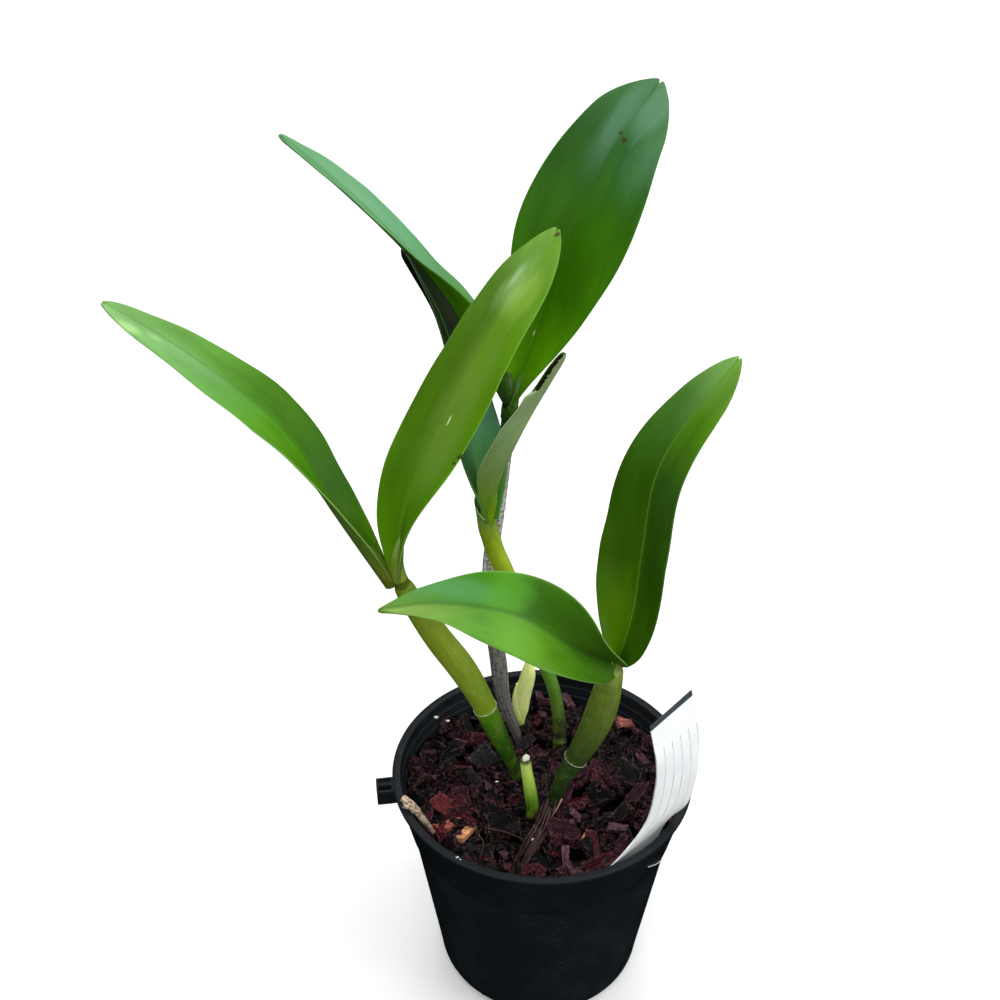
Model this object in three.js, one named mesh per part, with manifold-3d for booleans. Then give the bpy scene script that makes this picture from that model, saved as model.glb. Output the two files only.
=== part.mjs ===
// A cattleya orchid out of bloom, standing in a round black nursery pot.
//
// Millimetres, +Z up. The origin is the centre of the pot's foot, on the surface it stands on.
// -Y is the front of the pot: the label socket is at -X and the plant label at +X -Y.

import * as THREE from 'three';
import { mergeVertices } from 'three/addons/utils/BufferGeometryUtils.js';
import Module from 'manifold-3d';

const wasm = await Module();
wasm.setup();

// ---------------------------------------------------------------- driving dimensions

/** Clearance between pieces that touch. */
const GAP = 0.3;

const POT = {
  height: 110,
  rimRadius: 65,
  lipWidth: 3.6,
  lipThickness: 1.8,
  collarTopRadius: 63.6,
  collarHeight: 25.5,
  collarFootRadius: 58.4,
  bodyTopRadius: 57.2,
  shoulderDrop: 1.4,
  bodyFootRadius: 46,
  filletHeight: 9,
  footRadius: 39,
  wall: 1.6,
  floor: 1.8,
  sides: 48,
};

const DRAIN = { count: 8, radius: 4.5, circle: 26, sides: 12 };

const SOCKET = { angle: 191, reach: 72, width: 9, height: 7.5, slotWidth: 3, slotLength: 8, slotDepth: 5 };

const BARK = {
  level: 96.5,
  chips: 58,
  chipLength: [10, 19],
  chipWidth: [6, 10],
  chipThickness: [3.2, 5],
  seed: 20,
  crown: 125,
};

/** Thickness of a leaf over its midrib and at its edge. */
const LEAF = { ribThickness: 2.0, edgeThickness: 0.9, stations: 17 };

/** Where the cross stations of a leaf lie, from one edge (-1) over the midrib (0) to the other (1). */
const LEAF_ACROSS = [-1, -0.74, -0.44, -0.16, 0.16, 0.44, 0.74, 1];

const STEM_SIDES = 12;

// ---------------------------------------------------------------- vectors and chance

const vec = (p) => new THREE.Vector3(...p);
const curveThrough = (points) => new THREE.CatmullRomCurve3(points.map(vec), false, 'centripetal');
const mix = (a, b, t) => a + (b - a) * t;

/** 0 below `from`, 1 above `to`, and a smooth rise between. */
function rise(from, to, value) {
  return THREE.MathUtils.smoothstep(value, from, to);
}

/** Repeatable random numbers from 0 to 1. */
function seededRandom(seed) {
  let state = seed >>> 0;
  return () => {
    state = (Math.imul(state, 1664525) + 1013904223) >>> 0;
    return state / 4294967296;
  };
}

/** A direction at right angles to `along`, as near as possible to `wanted`. */
function squareTo(along, wanted) {
  return wanted.clone().addScaledVector(along, -wanted.dot(along)).normalize();
}

/** Smooth reading, along a Catmull-Rom spline, of values spread evenly from 0 to 1. */
function readAlong(values, t) {
  const at = t * (values.length - 1);
  const i = Math.min(Math.floor(at), values.length - 2);
  const [b, c] = [values[i], values[i + 1]];
  const a = values[i - 1] ?? 2 * b - c;
  const d = values[i + 2] ?? 2 * c - b;
  const w = at - i;
  return b + 0.5 * w * (c - a + w * (2 * a - 5 * b + 4 * c - d + w * (3 * (b - c) + d - a)));
}

// ---------------------------------------------------------------- solids

/** A manifold solid from any closed three.js geometry. */
function solidOf(geometry) {
  const bare = geometry.index ? geometry.toNonIndexed() : geometry.clone();
  bare.deleteAttribute('normal');
  bare.deleteAttribute('uv');
  const merged = mergeVertices(bare, 1e-4);
  return new wasm.Manifold(new wasm.Mesh({
    numProp: 3,
    vertProperties: new Float32Array(merged.attributes.position.array),
    triVerts: new Uint32Array(merged.index.array),
  }));
}

/** A three.js geometry from the largest body of a manifold solid. */
function geometryOf(solid) {
  const bodies = solid.decompose();
  const largest = bodies.reduce((a, b) => (a.volume() > b.volume() ? a : b));
  const mesh = largest.getMesh();
  const geometry = new THREE.BufferGeometry();
  geometry.setAttribute('position', new THREE.BufferAttribute(new Float32Array(mesh.vertProperties), 3));
  geometry.setIndex(new THREE.BufferAttribute(new Uint32Array(mesh.triVerts), 1));
  return geometry;
}

/** The union of a list of solids. */
function unionOf(solids) {
  return solids.reduce((all, next) => all.add(next));
}

/** A closed geometry from corner points and faces that list their corners in order. */
function geometryFrom(points, faces) {
  const geometry = new THREE.BufferGeometry();
  geometry.setAttribute('position', new THREE.Float32BufferAttribute(points.flatMap((p) => [p.x, p.y, p.z]), 3));
  geometry.setIndex(faces.flat());
  return geometry;
}

/** The solid through a row of round sections along a curve. */
function tube(curve, { radiusAt, stations, sides = STEM_SIDES, reference = new THREE.Vector3(1, 0, 0) }) {
  const points = [];
  const faces = [];
  for (const t of stations) {
    const centre = curve.getPointAt(t);
    const along = curve.getTangentAt(t);
    const across = squareTo(along, reference);
    const up = along.clone().cross(across);
    for (let side = 0; side < sides; side += 1) {
      const angle = (side / sides) * Math.PI * 2;
      const radius = radiusAt(t, angle);
      const point = centre.clone().addScaledVector(across, radius * Math.cos(angle));
      points.push(point.addScaledVector(up, radius * Math.sin(angle)));
    }
  }
  const foot = points.push(curve.getPointAt(stations[0])) - 1;
  const head = points.push(curve.getPointAt(stations.at(-1))) - 1;
  const lastRing = (stations.length - 1) * sides;
  for (let side = 0; side < sides; side += 1) {
    const next = (side + 1) % sides;
    for (let ring = 0; ring < lastRing; ring += sides) {
      faces.push([ring + side, ring + next, ring + sides + next]);
      faces.push([ring + side, ring + sides + next, ring + sides + side]);
    }
    faces.push([foot, next, side]);
    faces.push([head, lastRing + side, lastRing + next]);
  }
  return solidOf(geometryFrom(points, faces));
}

/**
 * The solid between an upper and a lower skin. Both are grids of points with the same rows and
 * columns, and both are split into triangles alike, so that a bent sheet never crosses itself.
 */
function sheet(upper, lower) {
  const rows = upper.length;
  const columns = upper[0].length;
  const points = [...upper.flat(), ...lower.flat()];
  const top = (row, column) => row * columns + column;
  const bottom = (row, column) => rows * columns + row * columns + column;
  const faces = [];
  for (let row = 0; row < rows - 1; row += 1) {
    for (let column = 0; column < columns - 1; column += 1) {
      const corners = [[row, column], [row, column + 1], [row + 1, column + 1], [row + 1, column]];
      const [a, b, c, d] = corners.map((corner) => top(...corner));
      const [e, f, g, h] = corners.map((corner) => bottom(...corner));
      faces.push([a, b, c], [a, c, d], [e, g, f], [e, h, g]);
    }
    const last = columns - 1;
    faces.push([top(row, 0), top(row + 1, 0), bottom(row + 1, 0)]);
    faces.push([top(row, 0), bottom(row + 1, 0), bottom(row, 0)]);
    faces.push([top(row, last), bottom(row + 1, last), top(row + 1, last)]);
    faces.push([top(row, last), bottom(row, last), bottom(row + 1, last)]);
  }
  for (let column = 0; column < columns - 1; column += 1) {
    const end = rows - 1;
    faces.push([top(0, column), bottom(0, column), bottom(0, column + 1)]);
    faces.push([top(0, column), bottom(0, column + 1), top(0, column + 1)]);
    faces.push([top(end, column), top(end, column + 1), bottom(end, column + 1)]);
    faces.push([top(end, column), bottom(end, column + 1), bottom(end, column)]);
  }
  return solidOf(geometryFrom(points, faces));
}

/** A solid of revolution from [radius, height] pairs that start and end on the axis. */
function turned(profile, sides = POT.sides) {
  return solidOf(new THREE.LatheGeometry(profile.map(([r, z]) => new THREE.Vector2(r, z)), sides)
    .rotateX(Math.PI / 2));
}

// ---------------------------------------------------------------- pot

/** The pot's inner radius at a height above its floor. */
function potInside(z) {
  const collarFoot = POT.height - POT.collarHeight;
  const collarTop = POT.height - POT.lipThickness;
  if (z >= collarFoot) {
    const t = Math.min((z - collarFoot) / (collarTop - collarFoot), 1);
    return mix(POT.collarFootRadius, POT.collarTopRadius, t) - POT.wall;
  }
  const t = Math.max((z - POT.filletHeight) / (collarFoot - POT.filletHeight), 0);
  return mix(POT.bodyFootRadius, POT.bodyTopRadius, t) - POT.wall;
}

/** The plain pot: rounded foot, tapered body, shoulder, collar and flat lip. */
function potShell() {
  const collarFoot = POT.height - POT.collarHeight;
  const lipFoot = POT.height - POT.lipThickness;
  const lipInner = POT.rimRadius - POT.lipWidth;
  const foot = [0, 22.5, 45, 67.5].map((degrees) => {
    const turn = THREE.MathUtils.degToRad(degrees);
    const radius = mix(POT.footRadius, POT.bodyFootRadius, Math.sin(turn));
    return [radius, POT.filletHeight * (1 - Math.cos(turn))];
  });
  const outside = [
    [0, 0], ...foot,
    [POT.bodyFootRadius, POT.filletHeight],
    [POT.bodyTopRadius, collarFoot - POT.shoulderDrop],
    [POT.collarFootRadius, collarFoot],
    [POT.collarTopRadius, lipFoot],
    [POT.rimRadius - 0.3, lipFoot],
    [POT.rimRadius, lipFoot + 0.4],
    [POT.rimRadius, POT.height - 0.5],
    [POT.rimRadius - 0.5, POT.height],
  ];
  const inside = [
    [lipInner + 0.4, POT.height],
    [lipInner, POT.height - 0.4],
    [lipInner, lipFoot - 1.2],
    [potInside(lipFoot - 2.0) + 0.2, lipFoot - 2.0],
    [potInside(collarFoot), collarFoot],
    [potInside(collarFoot - POT.shoulderDrop), collarFoot - POT.shoulderDrop],
    [potInside(POT.filletHeight), POT.filletHeight],
    [POT.footRadius + 1.5, POT.floor + 1.2],
    [POT.footRadius - 1.5, POT.floor],
    [0, POT.floor],
  ];
  return turned([...outside, ...inside]);
}

/** The label socket: a small block under the lip with a slot open at its top. */
function labelSocket() {
  const inner = POT.rimRadius - 1.2;
  const length = SOCKET.reach - inner;
  const middle = (SOCKET.reach + inner) / 2;
  const block = new THREE.BoxGeometry(length, SOCKET.width, SOCKET.height)
    .translate(middle, 0, POT.height - 0.6 - SOCKET.height / 2);
  const slot = new THREE.BoxGeometry(SOCKET.slotLength - 2.4, SOCKET.slotWidth, SOCKET.slotDepth * 2)
    .translate(middle + 0.6, SOCKET.width / 2 - 1.2 - SOCKET.slotWidth / 2, POT.height - 0.6);
  const turn = THREE.MathUtils.degToRad(SOCKET.angle);
  return { block: solidOf(block.rotateZ(turn)), slot: solidOf(slot.rotateZ(turn)) };
}

function drainHoles() {
  return unionOf(Array.from({ length: DRAIN.count }, (_, hole) => {
    const angle = (hole / DRAIN.count) * Math.PI * 2;
    const bore = new THREE.CylinderGeometry(DRAIN.radius, DRAIN.radius, POT.floor * 4, DRAIN.sides)
      .rotateX(Math.PI / 2)
      .translate(DRAIN.circle * Math.cos(angle), DRAIN.circle * Math.sin(angle), 0);
    return solidOf(bore);
  }));
}

function pot() {
  const socket = labelSocket();
  return potShell().add(socket.block).subtract(socket.slot).subtract(drainHoles());
}

// ---------------------------------------------------------------- stems

/**
 * One pseudobulb: its path from foot to top, its radii spread evenly along the path, and the
 * places of the raised rings that the fallen sheaths left.
 */
const PSEUDOBULBS = {
  left: {
    path: [
      [-10, 4.5, 90], [-10.5, 4.5, 98], [-14.5, 3.5, 112], [-20.3, 2, 128.6], [-26.1, 0.5, 146.8],
      [-33.4, -1.7, 164.8], [-42.5, -4, 182], [-50.5, -7.2, 200], [-54.6, -10.2, 211.5], [-56.2, -11.5, 217],
    ],
    radii: [2.6, 3.0, 4.35, 4.95, 5.8, 5.55, 4.9, 3.6],
    rings: [0.4],
  },
  right: {
    path: [
      [5.5, -6, 90], [6, -5.8, 97], [8.7, -4.8, 107], [13.8, -3.5, 118], [19, -3.7, 130],
      [22.8, -4.8, 142.3], [25.1, -5.6, 154], [26.6, -6.6, 165], [27.4, -6.9, 171], [28.4, -6.9, 174.4],
    ],
    radii: [3.2, 3.4, 4.6, 5.75, 6.45, 5.9, 4.4],
    rings: [0.345],
  },
  middle: {
    path: [
      [7.5, 22, 90], [7.5, 24, 98], [7.5, 27, 108.5], [6.5, 27.8, 118], [4.5, 28, 129.6],
      [1.1, 28, 141], [-17.7, 26.1, 196], [-21.5, 25.3, 206.6], [-25, 24, 222],
    ],
    radii: [3.3, 3.1, 2.8, 3.0, 3.4, 3.7, 3.9, 3.9],
    rings: [0.09],
  },
  old: {
    path: [
      [-11, 29, 90], [-11.2, 29, 98], [-13, 29.7, 105], [-16.4, 30.6, 114.7], [-18.8, 31.3, 126],
      [-20.4, 32, 141], [-24, 34, 174], [-24, 37, 193], [-21, 40, 216], [-18, 41, 245], [-16, 38, 268],
    ],
    radii: [1.6, 2.5, 3.6, 3.55, 3.3, 3.1, 2.9, 2.85, 2.9],
    rings: [0.155, 0.45, 0.72],
  },
};

const RING = { height: 0.6, halfLength: 0.012 };

/** A pseudobulb, thicker all round by `extra`. */
function pseudobulb({ path, radii, rings }, extra = 0) {
  const even = Array.from({ length: 12 }, (_, i) => i / 12);
  const nearRing = (t) => rings.some((ring) => Math.abs(t - ring) < RING.halfLength * 2);
  const ringStations = rings.flatMap((ring) => [ring - RING.halfLength, ring, ring + RING.halfLength]);
  const dome = [0.965, 0.985, 0.995, 1];
  const stations = [...even.filter((t) => !nearRing(t)), ...ringStations, ...dome].sort((a, b) => a - b);
  const radiusAt = (t) => {
    const raised = rings.includes(t) ? RING.height : 0;
    const rounding = t > 0.965 ? Math.sqrt(1 - ((t - 0.965) / 0.04) ** 2) : 1;
    return readAlong(radii, t) * rounding + raised + extra;
  };
  return tube(curveThrough(path), { radiusAt, stations });
}

/** The creeping stem that joins the feet of the pseudobulbs and shoots, oldest to youngest. */
const RHIZOME = {
  path: [
    [-7, 41, 86], [-10, 36, 86], [-11, 28, 86], [-2, 24, 86], [7, 21, 86], [5, 12, 86], [-4, 7, 86],
    [-10, 2, 86], [-3, -4, 86], [6, -7, 86], [3, -14, 86], [-4, -18, 86], [-9, -23, 87],
  ],
  radius: 3.4,
  knot: 0.4,
  knots: 9,
};

function rhizome(extra = 0) {
  const stations = Array.from({ length: 41 }, (_, i) => i / 40);
  const radiusAt = (t) => {
    const taper = Math.min(1, 0.45 + 6 * Math.min(t, 1 - t));
    return (RHIZOME.radius + RHIZOME.knot * Math.sin(t * Math.PI * 2 * RHIZOME.knots)) * taper + extra;
  };
  const reference = new THREE.Vector3(0, 0, 1);
  return tube(curveThrough(RHIZOME.path), { radiusAt, stations, sides: 8, reference });
}

/** The young shoots: one fresh and sheathed, one cut back and dried at its tip. */
const SHOOTS = {
  fresh: {
    path: [
      [-10.5, 37, 90], [-10.5, 37, 98], [-10.3, 36.7, 103.4], [-9.8, 36.2, 110], [-9.7, 36, 116],
      [-9, 36, 122], [-7.8, 36, 128], [-7.3, 36, 131], [-6.8, 36, 141],
    ],
    radii: [1.6, 1.5, 1.9, 3.1, 3.6, 3.6, 2.95, 0.8],
    scale: {
      path: [[-10.6, 36.5, 100], [-11.5, 35.6, 110], [-12.4, 35.4, 119], [-12, 35.5, 126.5]],
      radii: [1.2, 2.6, 2.2, 0.5],
    },
  },
  cut: {
    path: [
      [-4, -17, 90], [-3.9, -17.3, 98], [-3.8, -17.7, 104], [-4.4, -18.6, 111.5], [-5.5, -19, 120],
      [-6.5, -19, 127], [-7, -19, 133.5],
    ],
    radii: [2.5, 2.65, 2.75, 2.45, 2.2],
  },
};

/** A shoot, with the scale that sheathes its foot when it has one. */
function shoot({ path, radii, scale }, extra = 0) {
  const stations = [0, 0.15, 0.3, 0.45, 0.6, 0.75, 0.88, 0.96, 1];
  const radiusAt = (t) => readAlong(radii, t) * (t > 0.97 ? 0.7 : 1) + extra;
  const stem = tube(curveThrough(path), { radiusAt, stations });
  return scale ? stem.add(shoot(scale, extra)) : stem;
}

// ---------------------------------------------------------------- leaves

/**
 * The leaves, two to each pseudobulb. `rib` runs along the midrib from base to tip, `face` says
 * where the upper side looks at the base, the middle and the tip, `widths` are spread evenly from
 * base to tip, and `fold` is how far each half is raised, in degrees, also from base to tip.
 * `roundTo` is the share of the length over which a broad base is rounded.
 */
const LEAVES = {
  leaf_left_outer: {
    bulb: 'left',
    rib: [[-60.7, -12.6, 214.6], [-80.1, -9.4, 247.7], [-102.3, 8.2, 273.3], [-137, 22, 295.2], [-170, 34, 310]],
    face: [[0.93, 0.09, 0.42], [0.5, -0.2, 0.8], [0.3, -0.3, 0.9]],
    widths: [7.1, 17.9, 23.7, 28, 26, 17.5, 10], fold: [60, 38, 11, 8, 4],
  },
  leaf_left_front: {
    bulb: 'left',
    rib: [[-56.7, -12, 217], [-53.4, -11.1, 247.9], [-42.8, -7.9, 274.8], [-24, 2, 312], [0.4, 26, 345.2]],
    face: [[-0.66, -0.73, 0.1], [-0.44, -0.77, 0.41], [-0.2, -0.7, 0.7]],
    widths: [6.3, 20, 28.5, 28.7, 25.7, 22, 14], fold: [57, 34, 9, 6, 4],
  },
  leaf_right_low: {
    bulb: 'right',
    rib: [[30, -5.9, 174.3], [13.7, -17, 189], [-10.8, -30.6, 216.5], [-38, -40, 228], [-58, -51, 233]],
    face: [[0.27, -0.65, -0.23], [0.9, -0.58, 0.34], [0.3, -0.1, 0.9]],
    widths: [17.4, 25.3, 32.8, 32.5, 27, 15, 6], fold: [56, 46, 13, 10, 8], roundTo: 0.08,
  },
  leaf_right_tall: {
    bulb: 'right',
    rib: [[29.3, -5.3, 173.5], [35.3, -1.1, 199.8], [37.6, 3.9, 224], [43, 13, 257], [69, 23, 297]],
    face: [[0.08, -0.48, -0.1], [-0.73, -0.72, 0.32], [-0.5, -0.7, 0.5]],
    widths: [15.5, 29.8, 35.8, 33.9, 29, 22, 13], fold: [56, 31, 19, 14, 8], roundTo: 0.08,
  },
  leaf_middle_torn: {
    bulb: 'middle',
    rib: [[-23.6, 23, 224.2], [-20.2, 18.1, 245.5], [-11, 12, 272.4], [4, 4, 307]],
    face: [[-0.8, 0.41, 0.29], [-0.88, 0.35, 0.31], [-0.7, 0.5, 0.3]],
    widths: [6.8, 14.1, 19.9, 19, 14.2, 13, 9], fold: [60, 48, 41, 40],
    torn: { side: 1, from: 0.78, keep: 0.5 },
  },
  leaf_middle_back: {
    bulb: 'middle',
    rib: [[-24, 24, 223], [-32, 30.5, 260], [-41, 29, 306], [-54, 24, 337]],
    face: [[0.5, -0.8, 0.3], [0.9, -0.5, 0.2], [0.9, 0.1, 0.4]],
    widths: [10, 24, 27, 24, 18, 14, 9], fold: [58, 24, 20, 16],
  },
  leaf_old_tall: {
    bulb: 'old',
    rib: [[-16, 38, 268], [-3, 43, 305], [8, 50, 338], [22, 60, 366], [37, 72, 385]],
    face: [[-0.3, -0.9, 0.2], [-0.2, -0.9, 0.3], [-0.1, -0.8, 0.6]],
    widths: [6, 20, 33, 43, 42, 33, 20], fold: [55, 16, 8, 6, 5],
  },
  leaf_old_back: {
    bulb: 'old',
    rib: [[-17, 38, 268], [-33.1, 45, 295.4], [-52.8, 55, 320.9], [-80.4, 62, 346.8], [-103, 66, 365]],
    face: [[0.93, 0.68, 0.5], [1.12, 0.07, 0.6], [0.6, 0, 0.8]],
    widths: [9, 21.5, 26.5, 22.2, 22.5, 18, 11], fold: [60, 53, 19, 18, 12],
  },
};

/** A leaf's tip: where its rounding starts, its blunt end as a share of the width, and its notch. */
const LEAF_TIP = { roundFrom: 0.86, blunt: 0.16, notch: 1.6 };

/** The share of its width that a leaf with a rounded base keeps at its very foot. */
const LEAF_BASE = { blunt: 0.4 };

/** Half the width of a leaf at `t` of its length. */
function leafHalfWidth({ widths, roundTo = 0 }, t) {
  const past = Math.max(0, (t - LEAF_TIP.roundFrom) / (1 - LEAF_TIP.roundFrom));
  const before = Math.max(0, 1 - t / Math.max(roundTo, 1e-6));
  const base = mix(LEAF_BASE.blunt, 1, Math.sqrt(1 - before * before));
  return (readAlong(widths, t) / 2) * mix(LEAF_TIP.blunt, 1, Math.sqrt(1 - past * past)) * (roundTo ? base : 1);
}

/** A leaf blade, thicker all round by `extra`. */
function leafBlade(leaf, extra = 0) {
  const rib = curveThrough(leaf.rib);
  const face = curveThrough(leaf.face);
  const fold = (t) => THREE.MathUtils.degToRad(readAlong(leaf.fold, t));
  const upper = [];
  const lower = [];
  for (let station = 0; station <= LEAF.stations; station += 1) {
    const t = Math.sin((station / LEAF.stations) * Math.PI / 2) ** 1.15;
    const along = rib.getTangentAt(t);
    const up = squareTo(along, face.getPoint(t));
    const right = along.clone().cross(up);
    const half = leafHalfWidth(leaf, t) + extra;
    const lobes = LEAF_TIP.notch * rise(LEAF_TIP.roundFrom, 1, t);
    const upperRow = [];
    const lowerRow = [];
    for (const s of LEAF_ACROSS) {
      const torn = leaf.torn && Math.sign(s) === leaf.torn.side ? mix(1, leaf.torn.keep, rise(-0.03, 0.03, t - leaf.torn.from)) : 1;
      const out = Math.abs(s) * torn;
      const lift = half * Math.sin(fold(t)) * (Math.hypot(out, 0.2) - 0.2) * 1.1;
      const centre = rib.getPointAt(t)
        .addScaledVector(right, half * Math.cos(fold(t)) * out * Math.sign(s))
        .addScaledVector(up, lift)
        .addScaledVector(along, lobes * Math.sin(Math.PI * Math.abs(s)));
      const thickness = mix(LEAF.ribThickness, LEAF.edgeThickness, out ** 0.8) / 2 + extra;
      const lean = fold(t) * Math.sign(s) * Math.min(1, out * 3);
      const normal = up.clone().multiplyScalar(Math.cos(lean)).addScaledVector(right, -Math.sin(lean));
      upperRow.push(centre.clone().addScaledVector(normal, thickness));
      lowerRow.push(centre.clone().addScaledVector(normal, -thickness));
    }
    upper.push(upperRow);
    lower.push(lowerRow);
  }
  return sheet(upper, lower);
}

// ---------------------------------------------------------------- things on the bark

/** The plant label: its left and right edges from the buried end to the top. */
const LABEL = {
  left: [[6, -55, 86], [18, -55.5, 98], [30, -52, 109], [42, -43, 122], [45, -41, 140], [44.6, -41, 153], [41.2, -39.2, 170.6]],
  right: [[28, -45, 80], [42, -38, 92], [52.5, -28, 109], [59.5, -30, 121], [62.5, -29, 138], [62, -27, 156], [57.5, -25.5, 178]],
  thickness: 0.7,
  stations: 18,
  columns: 4,
};

function plantLabel(extra = 0) {
  const left = curveThrough(LABEL.left);
  const right = curveThrough(LABEL.right);
  const upper = [];
  const lower = [];
  for (let station = 0; station <= LABEL.stations; station += 1) {
    const t = station / LABEL.stations;
    const edge = left.getPoint(t);
    const far = right.getPoint(t);
    const across = far.clone().sub(edge).normalize();
    const along = squareTo(across, left.getTangent(t).add(right.getTangent(t)));
    const out = across.clone().cross(along);
    const upperRow = [];
    const lowerRow = [];
    for (let column = 0; column <= LABEL.columns; column += 1) {
      const s = column / LABEL.columns;
      const point = edge.clone().lerp(far, s).addScaledVector(across, extra * (2 * s - 1));
      upperRow.push(point.clone().addScaledVector(out, LABEL.thickness / 2 + extra));
      lowerRow.push(point.clone().addScaledVector(out, -LABEL.thickness / 2 - extra));
    }
    upper.push(upperRow);
    lower.push(lowerRow);
  }
  return sheet(upper, lower);
}

/** A dead root that lies from the lip's inner edge down over the bark. */
const DRY_ROOT = { path: [[-58, -24, 112.9], [-54.6, -26.6, 112], [-50.6, -29, 108], [-46, -31.5, 102.5]], radii: [1.7, 1.6, 1.6, 1.5] };

/** A shred of old sheath that leans on the bark before the cut shoot. */
const OLD_SHEATH = { path: [[5, -17, 106], [1, -27, 104], [-4, -38, 102], [-9, -51, 101]], radii: [1.6, 2.6, 2.4, 1.0] };

/** A knobbly strand that lies on the bark, thicker all round by `extra`. */
function strand({ path, radii }, extra = 0) {
  const stations = Array.from({ length: 9 }, (_, i) => i / 8);
  const radiusAt = (t, angle) => readAlong(radii, t) * (1 + 0.12 * Math.sin(3 * angle + 19 * t)) + extra;
  return tube(curveThrough(path), { radiusAt, stations, sides: 8, reference: new THREE.Vector3(0, 0, 1) });
}

// ---------------------------------------------------------------- bark mix

/** The chips that stand out: centre, length, width, thickness, turn about Z and two tilts. */
const MARKED_CHIPS = [
  { at: [-40, -13, 99], size: [20, 14, 4], turn: -20, tilt: [18, 12] },
  { at: [-38, -25, 99], size: [15, 6, 4.5], turn: 38, tilt: [10, -12] },
  { at: [-31, -29, 99], size: [12, 5, 3.6], turn: 62, tilt: [8, 0] },
  { at: [9, -29, 100], size: [15, 13, 7], turn: 8, tilt: [14, -6] },
  { at: [-16, -25, 99], size: [15, 13, 7], turn: 24, tilt: [8, 6] },
  { at: [19, -30, 99], size: [7, 6, 5], turn: 30, tilt: [0, 20] },
  { at: [-25, 15, 98], size: [14, 12, 3.6], turn: -35, tilt: [24, 8] },
  { at: [2, 12, 97], size: [13, 12, 5], turn: 60, tilt: [20, 6] },
  { at: [38, 42, 99], size: [9, 7, 5], turn: 20, tilt: [20, 30] },
  { at: [29, 13, 98], size: [17, 7, 4], turn: 4, tilt: [8, 0] },
  { at: [-38, -6, 97.5], size: [14, 8, 4], turn: 70, tilt: [10, -8] },
  { at: [-51, 18, 98], size: [13, 8, 4.5], turn: 80, tilt: [12, 14] },
  { at: [39, 7, 97.5], size: [14, 11, 5], turn: -30, tilt: [10, 10] },
  { at: [-6, -49, 98.5], size: [17, 9, 4.5], turn: 12, tilt: [8, 14] },
  { at: [25, -44, 99], size: [15, 9, 4.5], turn: 28, tilt: [-8, 12] },
];

/** One chip: a box with its long edges drawn in at one end, turned and tilted in its place. */
function chip({ at, size, turn, tilt }) {
  const [length, width, thickness] = size;
  const box = new THREE.BoxGeometry(length, width, thickness);
  const corners = box.attributes.position;
  for (let i = 0; i < corners.count; i += 1) {
    const end = corners.getX(i) > 0 ? 0.78 : 1;
    corners.setY(i, corners.getY(i) * end);
    corners.setZ(i, corners.getZ(i) * mix(end, 1, 0.5));
  }
  const [pitch, roll] = tilt.map(THREE.MathUtils.degToRad);
  box.rotateX(roll).rotateY(pitch).rotateZ(THREE.MathUtils.degToRad(turn)).translate(...at);
  return solidOf(box);
}

/** Chips scattered evenly over the bark by the golden angle, each with chance size and tilt. */
function scatteredChips() {
  const random = seededRandom(BARK.seed);
  const draw = ([low, high]) => mix(low, high, random());
  const reach = potInside(BARK.level) - 5;
  return Array.from({ length: BARK.chips }, (_, i) => {
    const radius = reach * Math.sqrt((i + 0.5) / BARK.chips);
    const angle = i * Math.PI * (3 - Math.sqrt(5));
    return {
      at: [radius * Math.cos(angle), radius * Math.sin(angle), BARK.level + 0.4 + 2.2 * random()],
      size: [draw(BARK.chipLength), draw(BARK.chipWidth), draw(BARK.chipThickness)],
      turn: 360 * random(),
      tilt: [draw([-26, 26]), draw([-30, 30])],
    };
  });
}

/** Everything inside the pot's wall, from the floor to well above the chips. */
function insideOfPot() {
  const collarFoot = POT.height - POT.collarHeight;
  const lipInner = POT.rimRadius - POT.lipWidth;
  const heights = [POT.filletHeight, collarFoot - POT.shoulderDrop, collarFoot, POT.height - POT.lipThickness - 2.0];
  const wall = heights.map((z) => [potInside(z) - GAP, z]);
  const floor = [[0, POT.floor + GAP], [POT.footRadius - 1.5, POT.floor + GAP], [POT.footRadius + 1.2, POT.floor + 1.8]];
  return turned([...floor, ...wall, [lipInner - GAP, POT.height - 1], [lipInner - GAP, BARK.crown], [0, BARK.crown]]);
}

/** The bed of bark mix: a solid fill with the chips fused into its top, and plain holes. */
function barkMix(holes) {
  const fill = turned([[0, 0], [POT.rimRadius, 0], [POT.rimRadius, BARK.level], [0, BARK.level]]);
  const chips = [...scatteredChips(), ...MARKED_CHIPS].map(chip);
  return unionOf([fill, ...chips]).intersect(insideOfPot()).subtract(unionOf(holes));
}

// ---------------------------------------------------------------- the plant, put together

const COLOURS = {
  pot: '#17191a',
  bark: '#3d2428',
  rhizome: '#4b3a2a',
  greenBulb: '#8aa13a',
  oliveBulb: '#6c7f2c',
  oldBulb: '#7d7468',
  leaf: '#4b8a1c',
  leafDark: '#2f6d1a',
  shoot: '#a9c45a',
  label: '#eaf3f6',
  root: '#b9a795',
  sheath: '#4a3630',
};

function named(name, solid, colour, roughness) {
  const material = new THREE.MeshStandardMaterial({ color: colour, roughness, metalness: 0 });
  const mesh = new THREE.Mesh(geometryOf(solid), material);
  mesh.name = name;
  return mesh;
}

/** Each leaf, cut free of its pseudobulb and of the leaf before it on the same one. */
function leafMeshes() {
  const taken = {};
  return Object.entries(LEAVES).map(([name, leaf]) => {
    const bulb = pseudobulb(PSEUDOBULBS[leaf.bulb], GAP);
    const cutters = [bulb, ...(taken[leaf.bulb] ?? [])];
    taken[leaf.bulb] = [leafBlade(leaf, GAP)];
    const colour = leaf.bulb === 'old' ? COLOURS.leafDark : COLOURS.leaf;
    return named(name, leafBlade(leaf).subtract(unionOf(cutters)), colour, 0.4);
  });
}

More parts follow.
